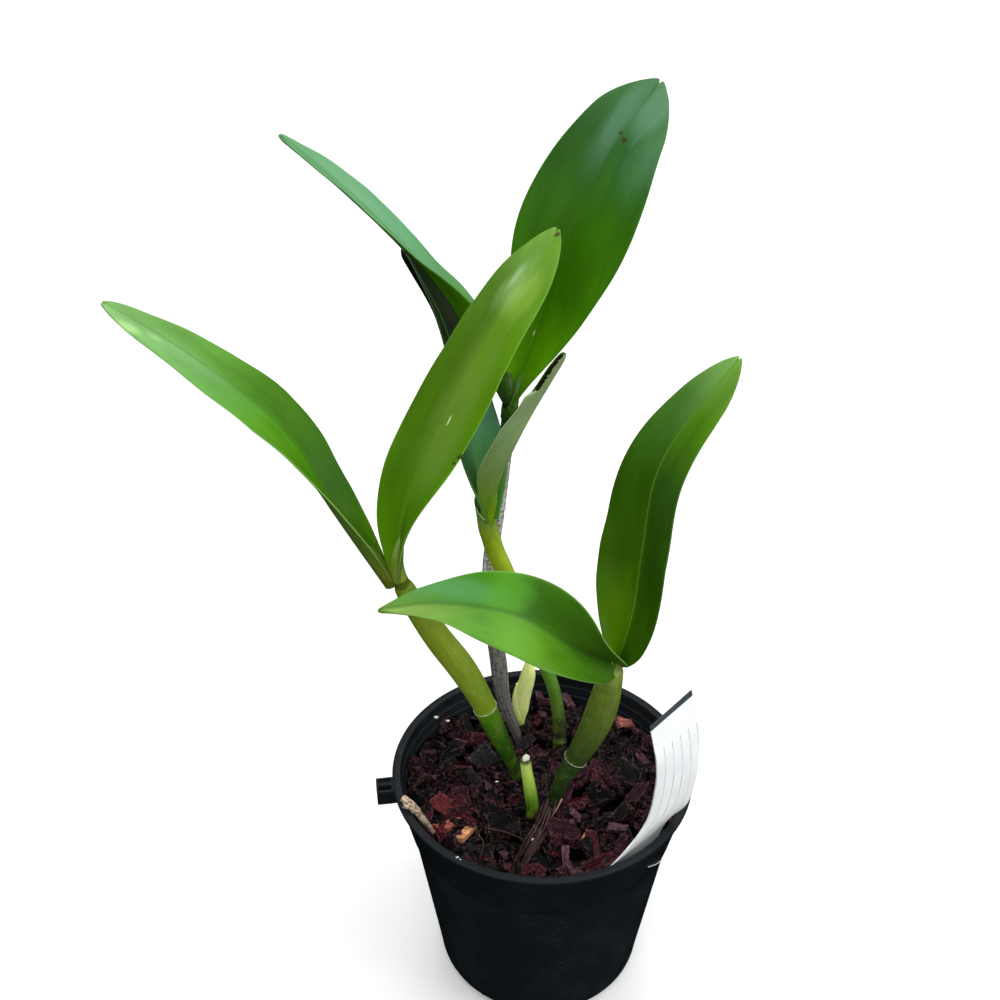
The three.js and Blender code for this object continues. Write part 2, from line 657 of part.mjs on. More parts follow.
const bulbColours = {
  left: COLOURS.greenBulb, right: COLOURS.oliveBulb, middle: COLOURS.greenBulb, old: COLOURS.oldBulb,
};

const buried = [
  rhizome(GAP),
  ...Object.values(PSEUDOBULBS).map((bulb) => pseudobulb(bulb, GAP)),
  ...Object.values(SHOOTS).map((young) => shoot(young, GAP)),
  plantLabel(GAP),
  strand(DRY_ROOT, GAP),
  strand(OLD_SHEATH, GAP),
];

const orchid = new THREE.Group();
orchid.add(named('pot', pot(), COLOURS.pot, 0.5));
orchid.add(named('bark_mix', barkMix(buried), COLOURS.bark, 0.9));
orchid.add(named('rhizome', rhizome(), COLOURS.rhizome, 0.9));
for (const [name, bulb] of Object.entries(PSEUDOBULBS)) {
  const stem = pseudobulb(bulb).subtract(rhizome(GAP));
  orchid.add(named(`pseudobulb_${name}`, stem, bulbColours[name], 0.5));
}
for (const [name, young] of Object.entries(SHOOTS)) {
  orchid.add(named(`${name}_shoot`, shoot(young).subtract(rhizome(GAP)), COLOURS.shoot, 0.5));
}
orchid.add(...leafMeshes());
orchid.add(named('plant_label', plantLabel(), COLOURS.label, 0.4));
orchid.add(named('dry_root', strand(DRY_ROOT), COLOURS.root, 0.9));
orchid.add(named('old_sheath', strand(OLD_SHEATH), COLOURS.sheath, 0.9));

export default orchid;
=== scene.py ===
"""A cattleya orchid out of bloom, growing in bark in a round black nursery pot.

The classes hold their sizes in millimetres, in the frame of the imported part: the origin is the
centre of the pot's foot, +Z is up and -Y is the front. MM turns them into the scene's metres.
"""

import logging
import math
import random
from collections.abc import Iterable, Sequence
from dataclasses import dataclass, field
from enum import Enum

import bmesh
import bpy
import numpy as np
from mathutils import Euler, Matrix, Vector, noise


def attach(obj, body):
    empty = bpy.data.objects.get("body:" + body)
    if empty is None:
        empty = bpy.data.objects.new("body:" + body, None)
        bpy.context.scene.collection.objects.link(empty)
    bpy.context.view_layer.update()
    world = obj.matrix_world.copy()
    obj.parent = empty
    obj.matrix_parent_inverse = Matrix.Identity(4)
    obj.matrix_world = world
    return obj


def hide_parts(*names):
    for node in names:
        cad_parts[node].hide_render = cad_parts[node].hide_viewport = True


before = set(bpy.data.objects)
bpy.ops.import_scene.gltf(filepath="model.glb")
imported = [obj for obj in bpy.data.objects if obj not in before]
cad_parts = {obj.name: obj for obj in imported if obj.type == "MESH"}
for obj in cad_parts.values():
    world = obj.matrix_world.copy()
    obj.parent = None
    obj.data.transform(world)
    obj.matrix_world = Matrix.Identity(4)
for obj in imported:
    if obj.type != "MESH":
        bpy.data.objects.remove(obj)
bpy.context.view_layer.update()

MM = 0.001
BODY = "root"
LOG = logging.getLogger("cattleya")
UP = (0.0, 0.0, 1.0)

Array = np.ndarray
Material = bpy.types.Material
Piece = bpy.types.Object
Socket = bpy.types.NodeSocket
Pair = tuple[float, float]
Triple = tuple[float, float, float]
Points = Sequence[Triple]
Face = tuple[int, ...]
Value = float | str | Triple | Material
# Colours by their place along a ramp, from 0 to 1.
Stops = dict[float, str]


# ---- smooth lines and values


def smooth_rise(low: float, high: float, value: Array) -> Array:
    """0 below low, 1 above high and a smooth rise between."""
    share = np.clip((value - low) / (high - low), 0.0, 1.0)
    return share * share * (3.0 - 2.0 * share)


def read_along(values: Sequence[float], share: Array) -> Array:
    """Reads values spread evenly from 0 to 1 smoothly, along a Catmull-Rom spline.

    Args:
        values: The values to read between.
        share: Where to read, from 0 to 1.

    Returns:
        One value for each share.
    """
    known = np.asarray(values, float)
    padded = np.concatenate([[2 * known[0] - known[1]], known, [2 * known[-1] - known[-2]]])
    at = np.clip(share, 0.0, 1.0) * (len(known) - 1)
    first = np.minimum(at.astype(int), len(known) - 2)
    a, b, c, d = (padded[first + step] for step in range(4))
    w = at - first
    return b + 0.5 * w * (c - a + w * (2 * a - 5 * b + 4 * c - d + w * (3 * (b - c) + d - a)))


def rounded_end(share: Array, start: float, span: float) -> Array:
    """1 up to start, and from there a quarter of a circle down to 0 at start and span."""
    return np.where(share > start, np.sqrt(np.maximum(0.0, 1 - ((share - start) / span) ** 2)), 1.0)


def unit(vectors: Array) -> Array:
    """The same directions, each of length 1."""
    return vectors / np.linalg.norm(vectors, axis=-1, keepdims=True)


def square_to(along: Array, wanted: Array) -> Array:
    """Directions at right angles to along, as near as possible to wanted."""
    return unit(wanted - along * np.sum(wanted * along, axis=-1, keepdims=True))


class Path:
    """A smooth line through points, read by the share of its length."""

    KNOTS = 400

    def __init__(self, points: Points) -> None:
        """Measures the line through the points.

        Args:
            points: What the line goes through.
        """
        self.points = np.asarray(points, float)
        self.shares = np.linspace(0.0, 1.0, self.KNOTS + 1)
        steps = np.linalg.norm(np.diff(self.raw(self.shares), axis=0), axis=1)
        self.travel = np.concatenate([[0.0], np.cumsum(steps)])
        self.length = float(self.travel[-1])

    def raw(self, share: Array) -> Array:
        """Points on the centripetal Catmull-Rom spline through the line's own points.

        Args:
            share: Where to read, from 0 to 1, with the same share for each span.

        Returns:
            One point for each share.
        """
        p = self.points
        padded = np.vstack([2 * p[0] - p[1], p, 2 * p[-1] - p[-2]])
        at = np.clip(np.asarray(share, float), 0.0, 1.0) * (len(p) - 1)
        first = np.minimum(at.astype(int), len(p) - 2)
        w = (at - first)[:, None]
        p0, p1, p2, p3 = (padded[first + step] for step in range(4))
        d0, d1, d2 = (
            np.maximum(np.linalg.norm(b - a, axis=1, keepdims=True), 1e-9) ** 0.5
            for a, b in ((p0, p1), (p1, p2), (p2, p3))
        )
        start = ((p1 - p0) / d0 - (p2 - p0) / (d0 + d1) + (p2 - p1) / d1) * d1
        end = ((p2 - p1) / d1 - (p3 - p1) / (d1 + d2) + (p3 - p2) / d2) * d1
        square = (3 * (p2 - p1) - 2 * start - end) * w**2
        return p1 + start * w + square + (2 * (p1 - p2) + start + end) * w**3

    def at(self, share: Array) -> Array:
        """Points at these shares of the line's length."""
        return self.raw(np.interp(np.asarray(share) * self.length, self.travel, self.shares))

    def direction(self, share: Array) -> Array:
        """The line's direction at these shares of its length.

        Args:
            share: Where to read, from 0 to 1.

        Returns:
            One direction for each share.
        """
        reach = 1e-3
        after = np.minimum(np.asarray(share) + reach, 1.0)
        before = np.maximum(np.asarray(share) - reach, 0.0)
        return unit(self.at(after) - self.at(before))


def angles_round(count: int) -> Array:
    """Angles spread evenly round a full turn, from 0, in radians."""
    return np.arange(count) / count * math.tau


def seeded_shares(seed: int) -> Iterable[float]:
    """The repeatable numbers from 0 to 1 that also place the chips of the solid bark.

    Args:
        seed: Where the sequence starts.

    Returns:
        The numbers, one after another.
    """
    state = seed
    while True:
        state = (state * 1664525 + 1013904223) % 2**32
        yield state / 2**32


# ---- meshes


def grid_faces(rows: int, columns: int, first: int = 0, flip: bool = False) -> list[Face]:
    """The quads of a grid of points stored row by row.

    Args:
        rows: Rows of points.
        columns: Points in a row.
        first: Index of the grid's first point.
        flip: Turns the faces to look the other way.

    Returns:
        Faces as tuples of point indices.
    """
    faces = []
    for row in range(rows - 1):
        for column in range(columns - 1):
            a = first + row * columns + column
            face = (a, a + 1, a + columns + 1, a + columns)
            faces.append(face[::-1] if flip else face)
    return faces


def sheet_faces(rows: int, columns: int) -> list[Face]:
    """The faces of a closed sheet: an upper grid, a lower grid stored after it, and the rim between.

    Args:
        rows: Rows of points in a grid.
        columns: Points in a row.

    Returns:
        Faces as tuples of point indices.
    """
    under = rows * columns
    faces = grid_faces(rows, columns) + grid_faces(rows, columns, under, flip=True)
    for row in range(rows - 1):
        a, b = row * columns, (row + 1) * columns
        faces.append((a, b, under + b, under + a))
        a, b = a + columns - 1, b + columns - 1
        faces.append((b, a, under + a, under + b))
    for column in range(columns - 1):
        a, b = column, column + 1
        faces.append((b, a, under + a, under + b))
        a, b = a + (rows - 1) * columns, b + (rows - 1) * columns
        faces.append((a, b, under + b, under + a))
    return faces


def add_object(name: str, data: bpy.types.ID) -> Piece:
    """An object in the scene, at the origin.

    Args:
        name: Its name.
        data: Its mesh, light or camera.

    Returns:
        The object.
    """
    made = bpy.data.objects.new(name, data)
    bpy.context.scene.collection.objects.link(made)
    return made


def make_piece(
    name: str,
    points: Array,
    faces: Sequence[Face],
    uv: Array | None = None,
    values: dict[str, Array] | None = None,
    smooth: bool = True,
) -> Piece:
    """A mesh object from points in millimetres.

    Args:
        name: Its name.
        points: One row of x, y, z for each point, in millimetres.
        faces: Faces as tuples of point indices.
        uv: One u, v for each point, or for each face corner in order, in millimetres.
        values: Named numbers, or rows of three for a colour, for each point.
        smooth: Shades the faces as one smooth surface.

    Returns:
        The object, at the origin.
    """
    mesh = bpy.data.meshes.new(name)
    mesh.from_pydata((np.asarray(points) * MM).tolist(), [], faces)
    for key, numbers in (values or {}).items():
        numbers = np.asarray(numbers, np.float32)
        if numbers.ndim == 2:
            layer = mesh.attributes.new(key, "FLOAT_COLOR", "POINT")
            full = np.column_stack([numbers, np.ones(len(numbers), np.float32)])
            layer.data.foreach_set("color", full.ravel())
        else:
            layer = mesh.attributes.new(key, "FLOAT", "POINT")
            layer.data.foreach_set("value", numbers)
    if uv is not None:
        uv = np.asarray(uv, np.float32)
        if len(uv) == len(mesh.vertices):
            corners = np.empty(len(mesh.loops), np.int32)
            mesh.loops.foreach_get("vertex_index", corners)
            uv = uv[corners]
        mesh.uv_layers.new(name="skin").uv.foreach_set("vector", uv.ravel())
    if smooth:
        mesh.shade_smooth()
    return add_object(name, mesh)


def face_outwards(piece: Piece, merge_mm: float = 0.0) -> Piece:
    """Turns every face of a closed mesh to look outwards.

    Args:
        piece: The closed mesh.
        merge_mm: How near two of its points have to be to become one.

    Returns:
        The piece.
    """
    shell = bmesh.new()
    shell.from_mesh(piece.data)
    if merge_mm:
        bmesh.ops.remove_doubles(shell, verts=shell.verts, dist=merge_mm * MM)
    bmesh.ops.recalc_face_normals(shell, faces=shell.faces)
    shell.to_mesh(piece.data)
    shell.free()
    return piece


def settle(piece: Piece) -> Piece:
    """Turns a piece with modifiers into a plain mesh.

    Args:
        piece: The piece.

    Returns:
        The same piece, without modifiers.
    """
    graph = bpy.context.evaluated_depsgraph_get()
    made = bpy.data.meshes.new_from_object(piece.evaluated_get(graph))
    piece.modifiers.clear()
    piece.data = made
    return piece


def cut(piece: Piece, tools: Sequence[Piece]) -> Piece:
    """Takes the tools' solids away from a piece, and removes the tools.

    Args:
        piece: The piece.
        tools: The solids to take away.

    Returns:
        The same piece.
    """
    for tool in tools:
        step = piece.modifiers.new("cut", "BOOLEAN")
        step.operation, step.solver, step.object = "DIFFERENCE", "EXACT", tool
    settle(piece)
    for tool in tools:
        bpy.data.objects.remove(tool)
    return piece


def joined(name: str, pieces: Sequence[Piece]) -> Piece:
    """Several plain meshes as one piece, with the materials of the first.

    Args:
        name: Its name.
        pieces: The meshes, which are removed.

    Returns:
        The new piece.
    """
    shell = bmesh.new()
    for piece in pieces:
        shell.from_mesh(piece.data)
    mesh = bpy.data.meshes.new(name)
    shell.to_mesh(mesh)
    shell.free()
    for material in pieces[0].data.materials:
        mesh.materials.append(material)
    for piece in pieces:
        bpy.data.objects.remove(piece)
    return add_object(name, mesh)


def closed_skin(
    name: str,
    rings: Array,
    ends: Sequence[Array],
    rows: Sequence[float],
    girth: float,
    values: dict[str, Array] | None = None,
) -> Piece:
    """A closed skin over rings of points, with both ends closed to a point.

    Args:
        name: Its name.
        rings: The points, by ring, side and axis.
        ends: The two points that close the first and the last ring.
        rows: How far along the skin each ring is, for the UV map.
        girth: The width of the UV map round the skin.
        values: Named numbers, by ring and side.

    Returns:
        The object, with the UV map "skin" in millimetres round and along.
    """
    count, sides = rings.shape[:2]
    foot, head, last = count * sides, count * sides + 1, (count - 1) * sides
    faces, uv = [], []
    for side in range(sides):
        following = (side + 1) % sides
        left, right = side / sides * girth, (side + 1) / sides * girth
        for ring in range(count - 1):
            a, b = ring * sides, (ring + 1) * sides
            faces.append((a + side, a + following, b + following, b + side))
            low, high = rows[ring], rows[ring + 1]
            uv += [(left, low), (right, low), (right, high), (left, high)]
        faces += [(foot, following, side), (head, last + side, last + following)]
        middle = (left + right) / 2
        uv += [(middle, rows[0])] * 3 + [(middle, rows[-1])] * 3
    numbers = {
        key: np.concatenate([grid.ravel(), [grid[0].mean(), grid[-1].mean()]])
        for key, grid in (values or {}).items()
    }
    return make_piece(name, np.vstack([rings.reshape(-1, 3), *ends]), faces, np.array(uv), numbers)


def spokes_round(along: Array, angle: Array, reference: Triple) -> Array:
    """Directions square to a line, all the way round it.

    Args:
        along: The line's direction at each ring.
        angle: The angles round the line.
        reference: Where the first spoke points, as nearly as the line lets it.

    Returns:
        Directions by ring, spoke and axis.
    """
    across = square_to(along, np.broadcast_to(np.asarray(reference), along.shape))
    up = np.cross(along, across)
    return across[:, None, :] * np.cos(angle)[:, None] + up[:, None, :] * np.sin(angle)[:, None]


def tube(
    name: str,
    path: Path,
    shares: Array,
    radius: Array,
    reference: Triple = (1.0, 0.0, 0.0),
    sides: int = 40,
) -> Piece:
    """A closed round skin along a path.

    Args:
        name: Its name.
        path: The centre line.
        shares: Where the rings are, as shares of the path's length.
        radius: The radius of each ring in millimetres, or a row for each ring with one for each side.
        reference: The direction that the first side looks in.
        sides: How many sides a ring has, where radius gives one number for each ring.

    Returns:
        The object, with the value "share" along its path.
    """
    if radius.ndim == 1:
        radius = np.repeat(radius[:, None], sides, axis=1)
    sides = radius.shape[1]
    centre = path.at(shares)
    spokes = spokes_round(path.direction(shares), angles_round(sides), reference)
    rings = centre[:, None, :] + spokes * radius[:, :, None]
    girth, values = float(radius.mean()) * math.tau, {"share": np.repeat(shares[:, None], sides, axis=1)}
    return closed_skin(name, rings, (centre[0], centre[-1]), shares * path.length, girth, values)


def cup(name: str, path: Path, shares: Array, radius: Array, wall: float) -> Piece:
    """A thin cup or band round a path, open at both ends.

    Args:
        name: Its name.
        path: The centre line.
        shares: How far along the path each point is, by row and side, with the first side again
            at the end.
        radius: The outer radius, shaped as shares.
        wall: The thickness of the wall.

    Returns:
        The object, with the value "share" from foot to rim.
    """
    rows, columns = shares.shape
    angle = np.linspace(0, math.tau, columns)
    centre, along = path.at(shares.ravel()), path.direction(shares.ravel())
    across = square_to(along, np.broadcast_to(np.array([1.0, 0.0, 0.0]), along.shape))
    up = np.cross(along, across)
    round_it = np.tile(angle, rows)[:, None]
    spokes = across * np.cos(round_it) + up * np.sin(round_it)
    tapered = wall * np.sqrt(np.linspace(1, 0.1, rows)).repeat(columns)
    skins = [centre + spokes * (radius.ravel() - inset)[:, None] for inset in (0.0, tapered)]
    flat = np.stack([angle * radius, shares * path.length], axis=-1).reshape(-1, 2)
    values = {"share": np.tile(np.linspace(0, 1, rows).repeat(columns), 2)}
    made = make_piece(name, np.vstack(skins), sheet_faces(rows, columns), np.tile(flat, (2, 1)), values)
    return face_outwards(made, merge_mm=0.01)


def dress(piece: Piece, material: Material, slot: str, *nodes: str) -> Piece:
    """Gives a piece its material and its body, and hides the solids that it stands for.

    Args:
        piece: The piece.
        material: What it is made of.
        slot: The slot that its finish belongs to; not used.
        nodes: The solids that it stands for.

    Returns:
        The piece.
    """
    piece.data.materials.clear()
    piece.data.materials.append(material)
    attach(piece, BODY)
    if nodes:
        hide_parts(*nodes)
    return piece


def lumps(seed: float, across: Array, along: Array, grain: float) -> Array:
    """Smooth chance values from about -1 to 1 at points of a plane, in lumps as big as grain."""
    flat = zip(np.ravel(across) / grain, np.ravel(along) / grain)
    return np.array([noise.noise((x, y, seed)) for x, y in flat]).reshape(np.shape(across)) * 1.6


# ---- nodes


def linear(colour: str) -> tuple[float, float, float, float]:
    """An sRGB hex colour as linear red, green, blue and alpha.

    Args:
        colour: The colour, with a # before its six digits.

    Returns:
        The four numbers, from 0 to 1.
    """
    shares = [int(colour[start : start + 2], 16) / 255 for start in (1, 3, 5)]
    low = [c / 12.92 if c <= 0.04045 else ((c + 0.055) / 1.055) ** 2.4 for c in shares]
    return (*low, 1.0)


def add_node(
    tree: bpy.types.NodeTree, kind: str, inputs: dict | None = None, stops: Stops | None = None, **settings
) -> bpy.types.Node:
    """Adds a node to a tree, with its settings, values and links.

    Args:
        tree: The tree to add to.
        kind: The node's type name.
        inputs: Input sockets by name or place: a value, a hex colour, or the socket to link from.
        stops: The colours of a colour ramp.
        settings: The node's own properties.

    Returns:
        The node.
    """
    made = tree.nodes.new(kind)
    for key, value in settings.items():
        setattr(made, key, value)
    for key, value in (inputs or {}).items():
        if isinstance(value, Socket):
            tree.links.new(value, made.inputs[key])
        else:
            is_colour = isinstance(value, str) and value.startswith("#")
            made.inputs[key].default_value = linear(value) if is_colour else value
    if stops:
        points = made.color_ramp.elements
        while len(points) < len(stops):
            points.new(1.0)
        for point, (place, colour) in zip(points, stops.items()):
            point.position, point.color = place, linear(colour)
    return made


class Step(Enum):
    """A step in a node tree: its node, the inputs that its values go to, its output and its settings."""

    VALUE = ("ShaderNodeAttribute", (), "Fac", {})
    OWN_COLOUR = ("ShaderNodeAttribute", (), "Color", {})
    SKIN = ("ShaderNodeUVMap", (), "UV", {"uv_map": "skin"})
    HERE = ("ShaderNodeTexCoord", (), "Object", {})
    TURNED = ("ShaderNodeMapping", ("Vector", "Rotation"), 0, {})
    SCALED = ("ShaderNodeMapping", ("Vector", "Scale"), 0, {})
    NOISE = ("ShaderNodeTexNoise", ("Vector", "Scale", "Detail", "Roughness"), "Fac", {})
    SPAN = ("ShaderNodeMapRange", range(5), 0, {"interpolation_type": "SMOOTHSTEP"})
    ACROSS = ("ShaderNodeSeparateXYZ", (0,), 0, {})
    ALONG = ("ShaderNodeSeparateXYZ", (0,), 1, {})
    UPWARD = ("ShaderNodeCombineXYZ", ("Z",), 0, {})
    PLUS = ("ShaderNodeMath", (0, 1), 0, {"operation": "ADD"})
    MINUS = ("ShaderNodeMath", (0, 1), 0, {"operation": "SUBTRACT"})
    TIMES = ("ShaderNodeMath", (0, 1), 0, {"operation": "MULTIPLY"})
    SIZE = ("ShaderNodeMath", (0,), 0, {"operation": "ABSOLUTE"})
    TO_AND_FRO = ("ShaderNodeMath", (0, 1), 0, {"operation": "PINGPONG"})
    FROM_POINT = ("ShaderNodeVectorMath", (0, 1), 0, {"operation": "SUBTRACT"})
    STRETCHED = ("ShaderNodeVectorMath", (0, 1), 0, {"operation": "MULTIPLY"})
    LENGTH = ("ShaderNodeVectorMath", (0,), "Value", {"operation": "LENGTH"})
    DISTANCE = ("ShaderNodeVectorMath", (0, 1), "Value", {"operation": "DISTANCE"})
    SHADED = ("ShaderNodeVectorMath", (0, "Scale"), 0, {"operation": "SCALE"})
    RAMP = ("ShaderNodeValToRGB", ("Fac",), "Color", {})
    BLEND = ("ShaderNodeMix", (0, 6, 7), 2, {"data_type": "RGBA", "blend_type": "MIX"})
    LUMPS = ("ShaderNodeTexNoise", ("Scale", "Detail"), "Color", {"noise_dimensions": "3D"})
    CHANCE = ("FunctionNodeRandomValue", (2, 3, "Seed"), 1, {"data_type": "FLOAT"})
    CHANCE_TURN = ("FunctionNodeRandomValue", (0, 1, "Seed"), 0, {"data_type": "FLOAT_VECTOR"})
    SCATTERED = ("GeometryNodeDistributePointsOnFaces", ("Mesh", "Density", "Seed"), "Points", {})
    CUBE = ("GeometryNodeMeshCube", ("Size", "Vertices X", "Vertices Y", "Vertices Z"), "Mesh", {})
    MOVED = ("GeometryNodeSetPosition", ("Geometry", "Offset"), 0, {})
    PLACED = ("GeometryNodeInstanceOnPoints", ("Points", "Instance", "Rotation", "Scale"), 0, {})
    NAMED = (
        "GeometryNodeStoreNamedAttribute", ("Geometry", "Name", "Value"), 0,
        {"data_type": "FLOAT", "domain": "INSTANCE"},
    )
    REAL = ("GeometryNodeRealizeInstances", ("Geometry",), 0, {})
    DRESSED = ("GeometryNodeSetMaterial", ("Geometry", "Material"), 0, {})


class Network:
    """A node tree, built up step by step."""

    def __init__(self, tree: bpy.types.NodeTree) -> None:
        """Starts from a tree without nodes."""
        self.tree = tree

    def add(self, step: Step, *values: Socket | Value, **settings: str | Stops) -> Socket:
        """Adds a step, with a value or a socket to link from for each input, and gives its output."""
        kind, inputs, output, fixed = step.value
        return add_node(self.tree, kind, dict(zip(inputs, values)), **fixed, **settings).outputs[output]


class Shader(Network):
    """A material, with the steps that the finishes share."""

    def __init__(self, name: str) -> None:
        """Makes an empty material.

        Args:
            name: Its name.
        """
        self.material = bpy.data.materials.new(name)
        self.material.use_nodes = True
        super().__init__(self.material.node_tree)
        self.tree.nodes.clear()

    def skin_grain(
        self, across_mm: float, along_mm: float, detail: float = 2.0, rough: float = 0.5, turn: float = 0.0
    ) -> Socket:
        """Smooth chance values from 0 to 1 on the piece's own UV map.

        Args:
            across_mm: The grain's size round or across the piece, in millimetres.
            along_mm: Its size along the piece, in millimetres.
            detail: How many finer layers it has.
            rough: How strong the finer layers are.
            turn: How far the pattern is turned, in radians.

        Returns:
            The values.
        """
        turned = self.add(Step.TURNED, self.add(Step.SKIN), (0.0, 0.0, turn))
        place = self.add(Step.SCALED, turned, (1 / across_mm, 1 / along_mm, 1.0))
        return self.add(Step.NOISE, place, 1.0, detail, rough)

    def solid_grain(self, grain_mm: float, detail: float = 2.0, rough: float = 0.5) -> Socket:
        """Smooth chance values from 0 to 1 through the solid, with a grain in millimetres."""
        place = self.add(Step.SCALED, self.add(Step.HERE), (1 / (grain_mm * MM),) * 3)
        return self.add(Step.NOISE, place, 1.0, detail, rough)

    def weighed(self, first: Socket, first_share: float, second: Socket, second_share: float) -> Socket:
        """Two numbers added up, each by its share."""
        parts = (self.add(Step.TIMES, *pair) for pair in ((first, first_share), (second, second_share)))
        return self.add(Step.PLUS, *parts)

    def finish(
        self, colour: Socket, roughness: Socket, height: Socket, depth_mm: float, **constants: float
    ) -> Material:
        """Joins the material's surface together.

        Args:
            colour: Its colour.
            roughness: Its roughness.
            height: The relief, from 0 to 1.
            depth_mm: How deep the relief is, in millimetres.
            constants: Values for the shader's other sockets, with _ for a space.

        Returns:
            The material.
        """
        relief = {"Height": height, "Distance": depth_mm * MM, "Strength": 1.0}
        bump = add_node(self.tree, "ShaderNodeBump", relief)
        inputs = {"Base Color": colour, "Roughness": roughness, "Normal": bump.outputs[0]}
        inputs.update({key.replace("_", " "): value for key, value in constants.items()})
        surface = add_node(self.tree, "ShaderNodeBsdfPrincipled", inputs)
        add_node(self.tree, "ShaderNodeOutputMaterial", {"Surface": surface.outputs[0]})
        return self.material


# ---- finishes

# Nearly all the values of a grain lie between these two.
MIDDLE = (0.3, 0.7)


@dataclass(frozen=True)
class SheenPatch:
    """A pale patch of painted sheen, a reflection painted on a leaf: centre and half sizes in millimetres,
    and how much shows.
    """

    across: float
    along: float
    half_width: float
    half_length: float
    share: float
    colour: str


@dataclass(frozen=True)
class LeafFinish:
    """Thick cattleya leaf: a waxy green skin over firm flesh.

    The two halves of the blade are coloured apart as painted light and shade of the fold, one half
    lit and one shaded. The wax gives a broad soft sheen, and pale patches of painted sheen lie on it.
    The midrib, the veins and the margin show as faint lines, the margin's pale line partly a
    painted highlight where the edge catches the light.
    """

    left: Stops
    right: Stops
    under: Stops
    rib: str
    margin: str
    rib_share: float = 0.3
    rib_mm: float = 0.5
    margin_share: float = 0.5
    painted_sheen: tuple[SheenPatch, ...] = ()
    marks: tuple[Triple, ...] = ()
    roughness: Pair = (0.31, 0.43)
    torn_edge: str = "#1c150e"
    scar: str = "#3b2c14"
    vein_mm: Pair = (0.9, 34.0)
    cloud_mm: Pair = (8.0, 34.0)
    sheen_mm: Pair = (0.35, 9.0)
    pore_mm: float = 0.45
    relief_mm: float = 0.07

    def material(self, name: str) -> Material:
        """Builds the leaf's material.

        Args:
            name: Its name.

        Returns:
            The material, which reads "share", "across", "side" and "torn" from the blade.
        """
        shader = Shader(name)
        add = shader.add
        keys = ("share", "across", "side", "torn")
        share, across, side, torn = (add(Step.VALUE, attribute_name=key) for key in keys)
        skin = add(Step.SKIN)
        veins, clouds = shader.skin_grain(*self.vein_mm), shader.skin_grain(*self.cloud_mm, 3.0, 0.6)
        # The two halves' own ramps: painted light and shade of the fold, one half lit and the other shaded.
        halves = (add(Step.RAMP, share, stops=stops) for stops in (self.left, self.right))
        colour = add(Step.BLEND, add(Step.SPAN, across, -0.16, 0.16), *halves)
        tints = ((clouds, *MIDDLE, 0.86, 1.14), (veins, *MIDDLE, 0.97, 1.03))
        tint = add(Step.TIMES, *(add(Step.SPAN, *each) for each in tints))
        colour = add(Step.SHADED, colour, tint)
        # Painted sheen: pale patches that stand in for reflections of the sky.
        for patch in self.painted_sheen:
            colour = add(Step.BLEND, self.patch_share(shader, skin, patch, clouds), colour, patch.colour)
        from_rib = add(Step.SIZE, add(Step.ACROSS, skin))
        line = add(Step.SPAN, from_rib, self.rib_mm * 0.3, self.rib_mm * 2, self.rib_share, 0.0)
        colour = add(Step.BLEND, line, colour, self.rib)
        below = add(Step.SHADED, add(Step.RAMP, share, stops=self.under), tint)
        colour = add(Step.BLEND, side, below, colour)
        # The pale margin line: the edge's own paler green, and a painted highlight where the edge catches
        # the light.
        edge = add(Step.SPAN, add(Step.SIZE, across), 0.965, 1.0, 0.0, self.margin_share)
        colour = self.scarred(shader, skin, torn, add(Step.BLEND, edge, colour, self.margin))
        rough = add(Step.SPAN, shader.skin_grain(*self.sheen_mm), *MIDDLE, *self.roughness)
        height = shader.weighed(veins, 0.7, shader.solid_grain(self.pore_mm), 0.3)
        return shader.finish(colour, rough, height, self.relief_mm, IOR=1.45, Specular_IOR_Level=0.16)

    def patch_share(self, shader: Shader, skin: Socket, patch: SheenPatch, clouds: Socket) -> Socket:
        """How much of a patch of painted sheen shows: full in its middle and fading out at a cloudy edge.

        Args:
            shader: The leaf's shader.
            skin: The UV map, in millimetres.
            patch: The patch.
            clouds: Chance values that ruffle its edge.

        Returns:
            The share, from 0 to 1.
        """
        centred = shader.add(Step.FROM_POINT, skin, (patch.across, patch.along, 0.0))
        scale = (1 / patch.half_width, 1 / patch.half_length, 1.0)
        away = shader.add(Step.LENGTH, shader.add(Step.STRETCHED, centred, scale))
        spread = shader.add(Step.PLUS, away, shader.add(Step.SPAN, clouds, 0.2, 0.8, -0.35, 0.35))
        return shader.add(Step.SPAN, spread, 0.25, 1.1, patch.share, 0.0)

    def scarred(self, shader: Shader, skin: Socket, torn: Socket, colour: Socket) -> Socket:
        """Lays the dry torn edge and the brown scars over the leaf's colour.

        Args:
            shader: The leaf's shader.
            skin: The UV map, in millimetres.
            torn: How near the torn edge is, from 0 to 1.
            colour: The colour beneath.

        Returns:
            The colour with its scars, each at a place and with a radius in millimetres.
        """
        add = shader.add
        ragged = shader.skin_grain(1.4, 1.4, 3.0)
        near = add(Step.PLUS, torn, add(Step.SPAN, ragged, 0.2, 0.8, -0.25, 0.25))
        colour = add(Step.BLEND, add(Step.SPAN, near, 0.5, 0.7), colour, self.torn_edge)
        for across, along, radius in self.marks:
            away = add(Step.DISTANCE, skin, (across, along, 0.0))
            spread = add(Step.TIMES, add(Step.SPAN, ragged, 0.25, 0.75, 0.6, 1.5), away)
            scar = add(Step.SPAN, spread, radius * 0.5, radius, 0.85, 0.0)
            colour = add(Step.BLEND, scar, colour, self.scar)
        return colour


